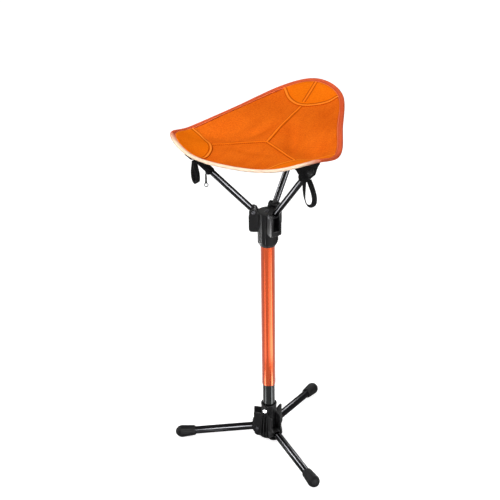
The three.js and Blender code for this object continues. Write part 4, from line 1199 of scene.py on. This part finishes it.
# Pull loops: black webbing, doubled and sewn under each pocket, open to the front and back. The
# right one is twisted edge on half way down one strand.
# LOOPS has how far each hangs back from its arm's tip, its tilt and turn, and its hidden depth.
LOOPS = {"rear": (27, 10, 0, 9), "left": (34, -2, 32, 10), "right": (26, 20, 0, 9)}
LOOP_LOW, WEB_HALF = -55.3, 4.75
TWIST_AT = (0, 0.12, 0.26, 0.38, 0.5, 0.62, 0.75, 1)
TWIST = (72, 60, 32, 26, 25, 45, 60, 64)


def webbing_paint(w):
    _, along, across_it = woven(w, 0.0012)
    ribs = w.maths("SINE", along * (2 * math.pi / 0.0022))
    edge = across_it.near(0.0006, 0.0008) + across_it.near(0.0089, 0.0008)
    tone = w.noise(40, 3) * 0.6 + ribs * 0.15 + edge * 0.3
    tone = tone.mix((16, 16, 17), (52, 52, 54))
    return {"Base Color": tone, "Normal": (ribs + edge).bump(0.0003)}


webbing = material("webbing", webbing_paint, {**CLOTH, "Roughness": 0.6, "Sheen Weight": 0.1})


def bezier(a, b, c, d, f):
    return a * (1 - f) ** 3 + 3 * b * f * (1 - f) ** 2 + 3 * c * f * f * (1 - f) + d * f**3


corners = (-2.1, -0.7), (-10.3, LOOP_LOW / 2), (-14.4, LOOP_LOW), (0, LOOP_LOW)
strand = bezier(*(np.array(corner) for corner in corners), np.linspace(0, 1, 29)[:, None])
whole = np.concatenate([strand, strand[-2::-1] * (-1, 1)])
face = [(-WEB_HALF, 0.0), (-4.5, 0.6), (-2.2, 0.66)]
face += [(0, 0.62)] + [(-a, b) for a, b in reversed(face)]
ring = np.array(face + [(a, -b) for a, b in face[-2:0:-1]])
for side in AZIMUTHS:
    back, tilted, turned_by, hidden = LOOPS[side]
    path = whole[whole[:, 1] < -hidden]
    path = np.concatenate([[2 * path[0] - path[1]], path, [2 * path[-1] - path[-2]]])
    twist = np.zeros(len(path))
    if side == "right":
        twist = np.interp(np.linspace(0, 1, len(path)), TWIST_AT, TWIST)
    if side == "left":
        twist += 12 * np.sin(np.linspace(0, 3, len(path)))
    tangent = np.gradient(path, axis=0)
    tangent /= np.linalg.norm(tangent, axis=1, keepdims=True)
    sections = []
    for place, way, a in zip(path, tangent, np.radians(twist)):
        wide = np.array([1.0, 0, 0])
        thick = np.cross([0, *way], wide)
        c, s = math.cos(a), math.sin(a)
        wide, thick = wide * c + thick * s, thick * c - wide * s
        sections.append(np.array([0, *place]) + ring[:, :1] * wide + ring[:, 1:] * thick)
    sections = np.stack(sections)
    x, y, z = (sections[..., k] for k in range(3))
    turned = np.radians(turned_by) * np.clip(-z / 34, 0, 1)
    c, s = np.cos(turned), np.sin(turned)
    sections = np.stack([x * c - y * s, x * s + y * c, z], axis=-1)
    hook = beside_arm(side, ARM_LENGTH[side] - back, 0)
    c, s = bearing(tilted)
    sections = sections @ np.array([[c, 0, -s], [0, 1, 0], [s, 0, c]]).T + hook
    maps = np.broadcast_arrays(arc_lengths(path)[:, None], ring[None, :, 0] + WEB_HALF)
    sections, maps = to_post(side, sections), np.stack(maps, axis=-1)
    obj = sewn(f"loop_webbing_{side}", sections, maps, webbing, f"arm_{side}")
    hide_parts(f"pull_loop_{side}")

# Zip tape: a black strip wrapped round the left arm under its pocket, with a row of teeth along
# each of its two edges.
left_arm = limb_axis("left", ARM_PIN, ARM_PIN_Z, ARM_RISE["left"])
TAPE_LENGTH, TAPE_OUT, TAPE_IN, TAPE_WRAP = 42, 7.45, 6.3, 290
TEETH, TOOTH_PITCH, TOOTH_TURN = 24, 1.72, 141
tape_start = ARM_LENGTH["left"] - SLEEVE - 0.6 - TAPE_LENGTH
TURN_STEPS, LENGTH_STEPS = 60, 22
section = [(TAPE_OUT, k) for k in range(TURN_STEPS + 1)]
section += [(TAPE_IN, k) for k in range(TURN_STEPS, -1, -1)]
points = []
for j in range(LENGTH_STEPS + 1):
    along = tape_start + TAPE_LENGTH * j / LENGTH_STEPS
    for radius, k in section:
        a = math.radians(TAPE_WRAP) * (k / TURN_STEPS - 0.5)
        r = radius + (0.12 * math.sin(j * 1.9 + k * 0.35) if radius == TAPE_OUT else 0)
        points.append(left_arm @ (Vector((-r * math.cos(a), r * math.sin(a), along)) * MM))
wide = len(section)
faces = between(LENGTH_STEPS + 1, wide)
for start in (0, LENGTH_STEPS * wide):
    for k in range(TURN_STEPS):
        quad = (k, k + 1, wide - 2 - k, wide - 1 - k)
        faces.append([start + i for i in quad])
shells = [(points, faces)]
tooth = [(0, -0.9), (0.5, -0.9, 0.3), (0.5, 0.9, 0.3), (0, 0.9)]
for edge in (-1, 1):
    beside = left_arm @ Matrix.Rotation(math.radians(-TOOTH_TURN * edge), 4, "Z")
    for j in range(TEETH):
        place = beside @ moved(-7.5, 0, tape_start + 1.2 + j * TOOTH_PITCH)
        place = place @ Matrix.Rotation(math.pi / 2, 4, "X")
        shells.append(lathe(tooth, sides=10, place=place))
tape = together("zip_tape_cloth", *shells, sharp=50)
layer = tape.data.uv_layers.new(name="cloth")
back = left_arm.inverted()
for loop in tape.data.loops:
    p = back @ tape.data.vertices[loop.vertex_index].co
    layer.data[loop.index].uv = (p.z, math.atan2(p.y, -p.x) * 0.007)
finished(tape, black_cloth, "arm_left", "zip_tape")

# Zip slider: two small dark steel plates, one above the other, joined by a bar. Their outlines
# run along the arm and across it, and their depth points away from the arm.
plate = [(0, -2.5, 1.0), (5.2, -2.5, 1.2), (8, -1.4, 0.8), (8, 1.4, 0.8), (5.2, 2.5, 1.2)]
plate = rounded(plate + [(0, 2.5, 1.0)], closed=True)
bar = rounded([(0.8, -0.9, 0.4), (6.8, -0.9, 0.4), (6.8, 0.9, 0.4), (0.8, 0.9, 0.4)], closed=True)
turned = Matrix(((0, 1, 0, 0), (0, 0, 1, 0), (1, 0, 0, 0), (0, 0, 0, 1)))
place = left_arm @ moved(0, 0, tape_start) @ turned
slider = together(
    "zip_slider_body",
    slab(plate, 6.4, 7.5, 0.35, place),
    slab(plate, 8.2, 9.1, 0.35, place),
    slab(bar, 7.3, 8.4, 0.1, place),
    slab(bar, 8.9, 9.5, 0.25, place),
)
finished(slider, dark_steel, "arm_left", "zip_slider")

# Zip pull: a short rigid twist of cord that hangs from the slider and ends in a steel ring.
RING, WIRE = 3.6, 0.8
hook = beside_arm("left", tape_start + 4, -11.2)
hang = limb("left") @ moved(*hook)
twined = [(0, 1.4), (1.1, 0.9, 0.5)]
for k in range(15):
    z = 0.2 - 1.0 * k
    thick = 1.7 if k < 6 else 2.0
    twined += [(thick, z, 0.3), (thick - 0.3, z - 0.5, 0.3)]
twined += [(1.9, -15.4, 0.2), (2.2, -15.6, 0.3), (2.2, -18.8, 0.4), (0.9, -19.2), (0, -19.2)]
pull = turned_piece("zip_pull_cord", twined, 24, hang)
finished(pull, black_plastic, "zip_pull", "zip_pull")
wire = np.linspace(0, 2 * math.pi, 13)[:-1]
wire = [(RING + WIRE * math.cos(a), WIRE * math.sin(a)) for a in wire]
place = hang @ moved(0, 0, -19 - RING) @ Matrix.Rotation(math.pi / 2, 4, "X")
pull_ring = turned_piece("zip_pull_ring", wire, 40, place, closed=True)
finished(pull_ring, dark_steel, "zip_pull", None)

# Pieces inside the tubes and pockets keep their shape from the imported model.
nylon = material("nylon", grained((214, 210, 200), (228, 225, 216), 0.45), {})
inside = {name: steel for name in ("lock_plug", "lock_cone", "lock_nut", "snap_spring")}
inside |= {f"arm_cap_{side}": black_plastic for side in AZIMUTHS}
inside |= {"lock_sleeve": nylon, "tube_plug": black_plastic}
for name, finish in inside.items():
    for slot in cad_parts[name].material_slots:
        slot.material = finish
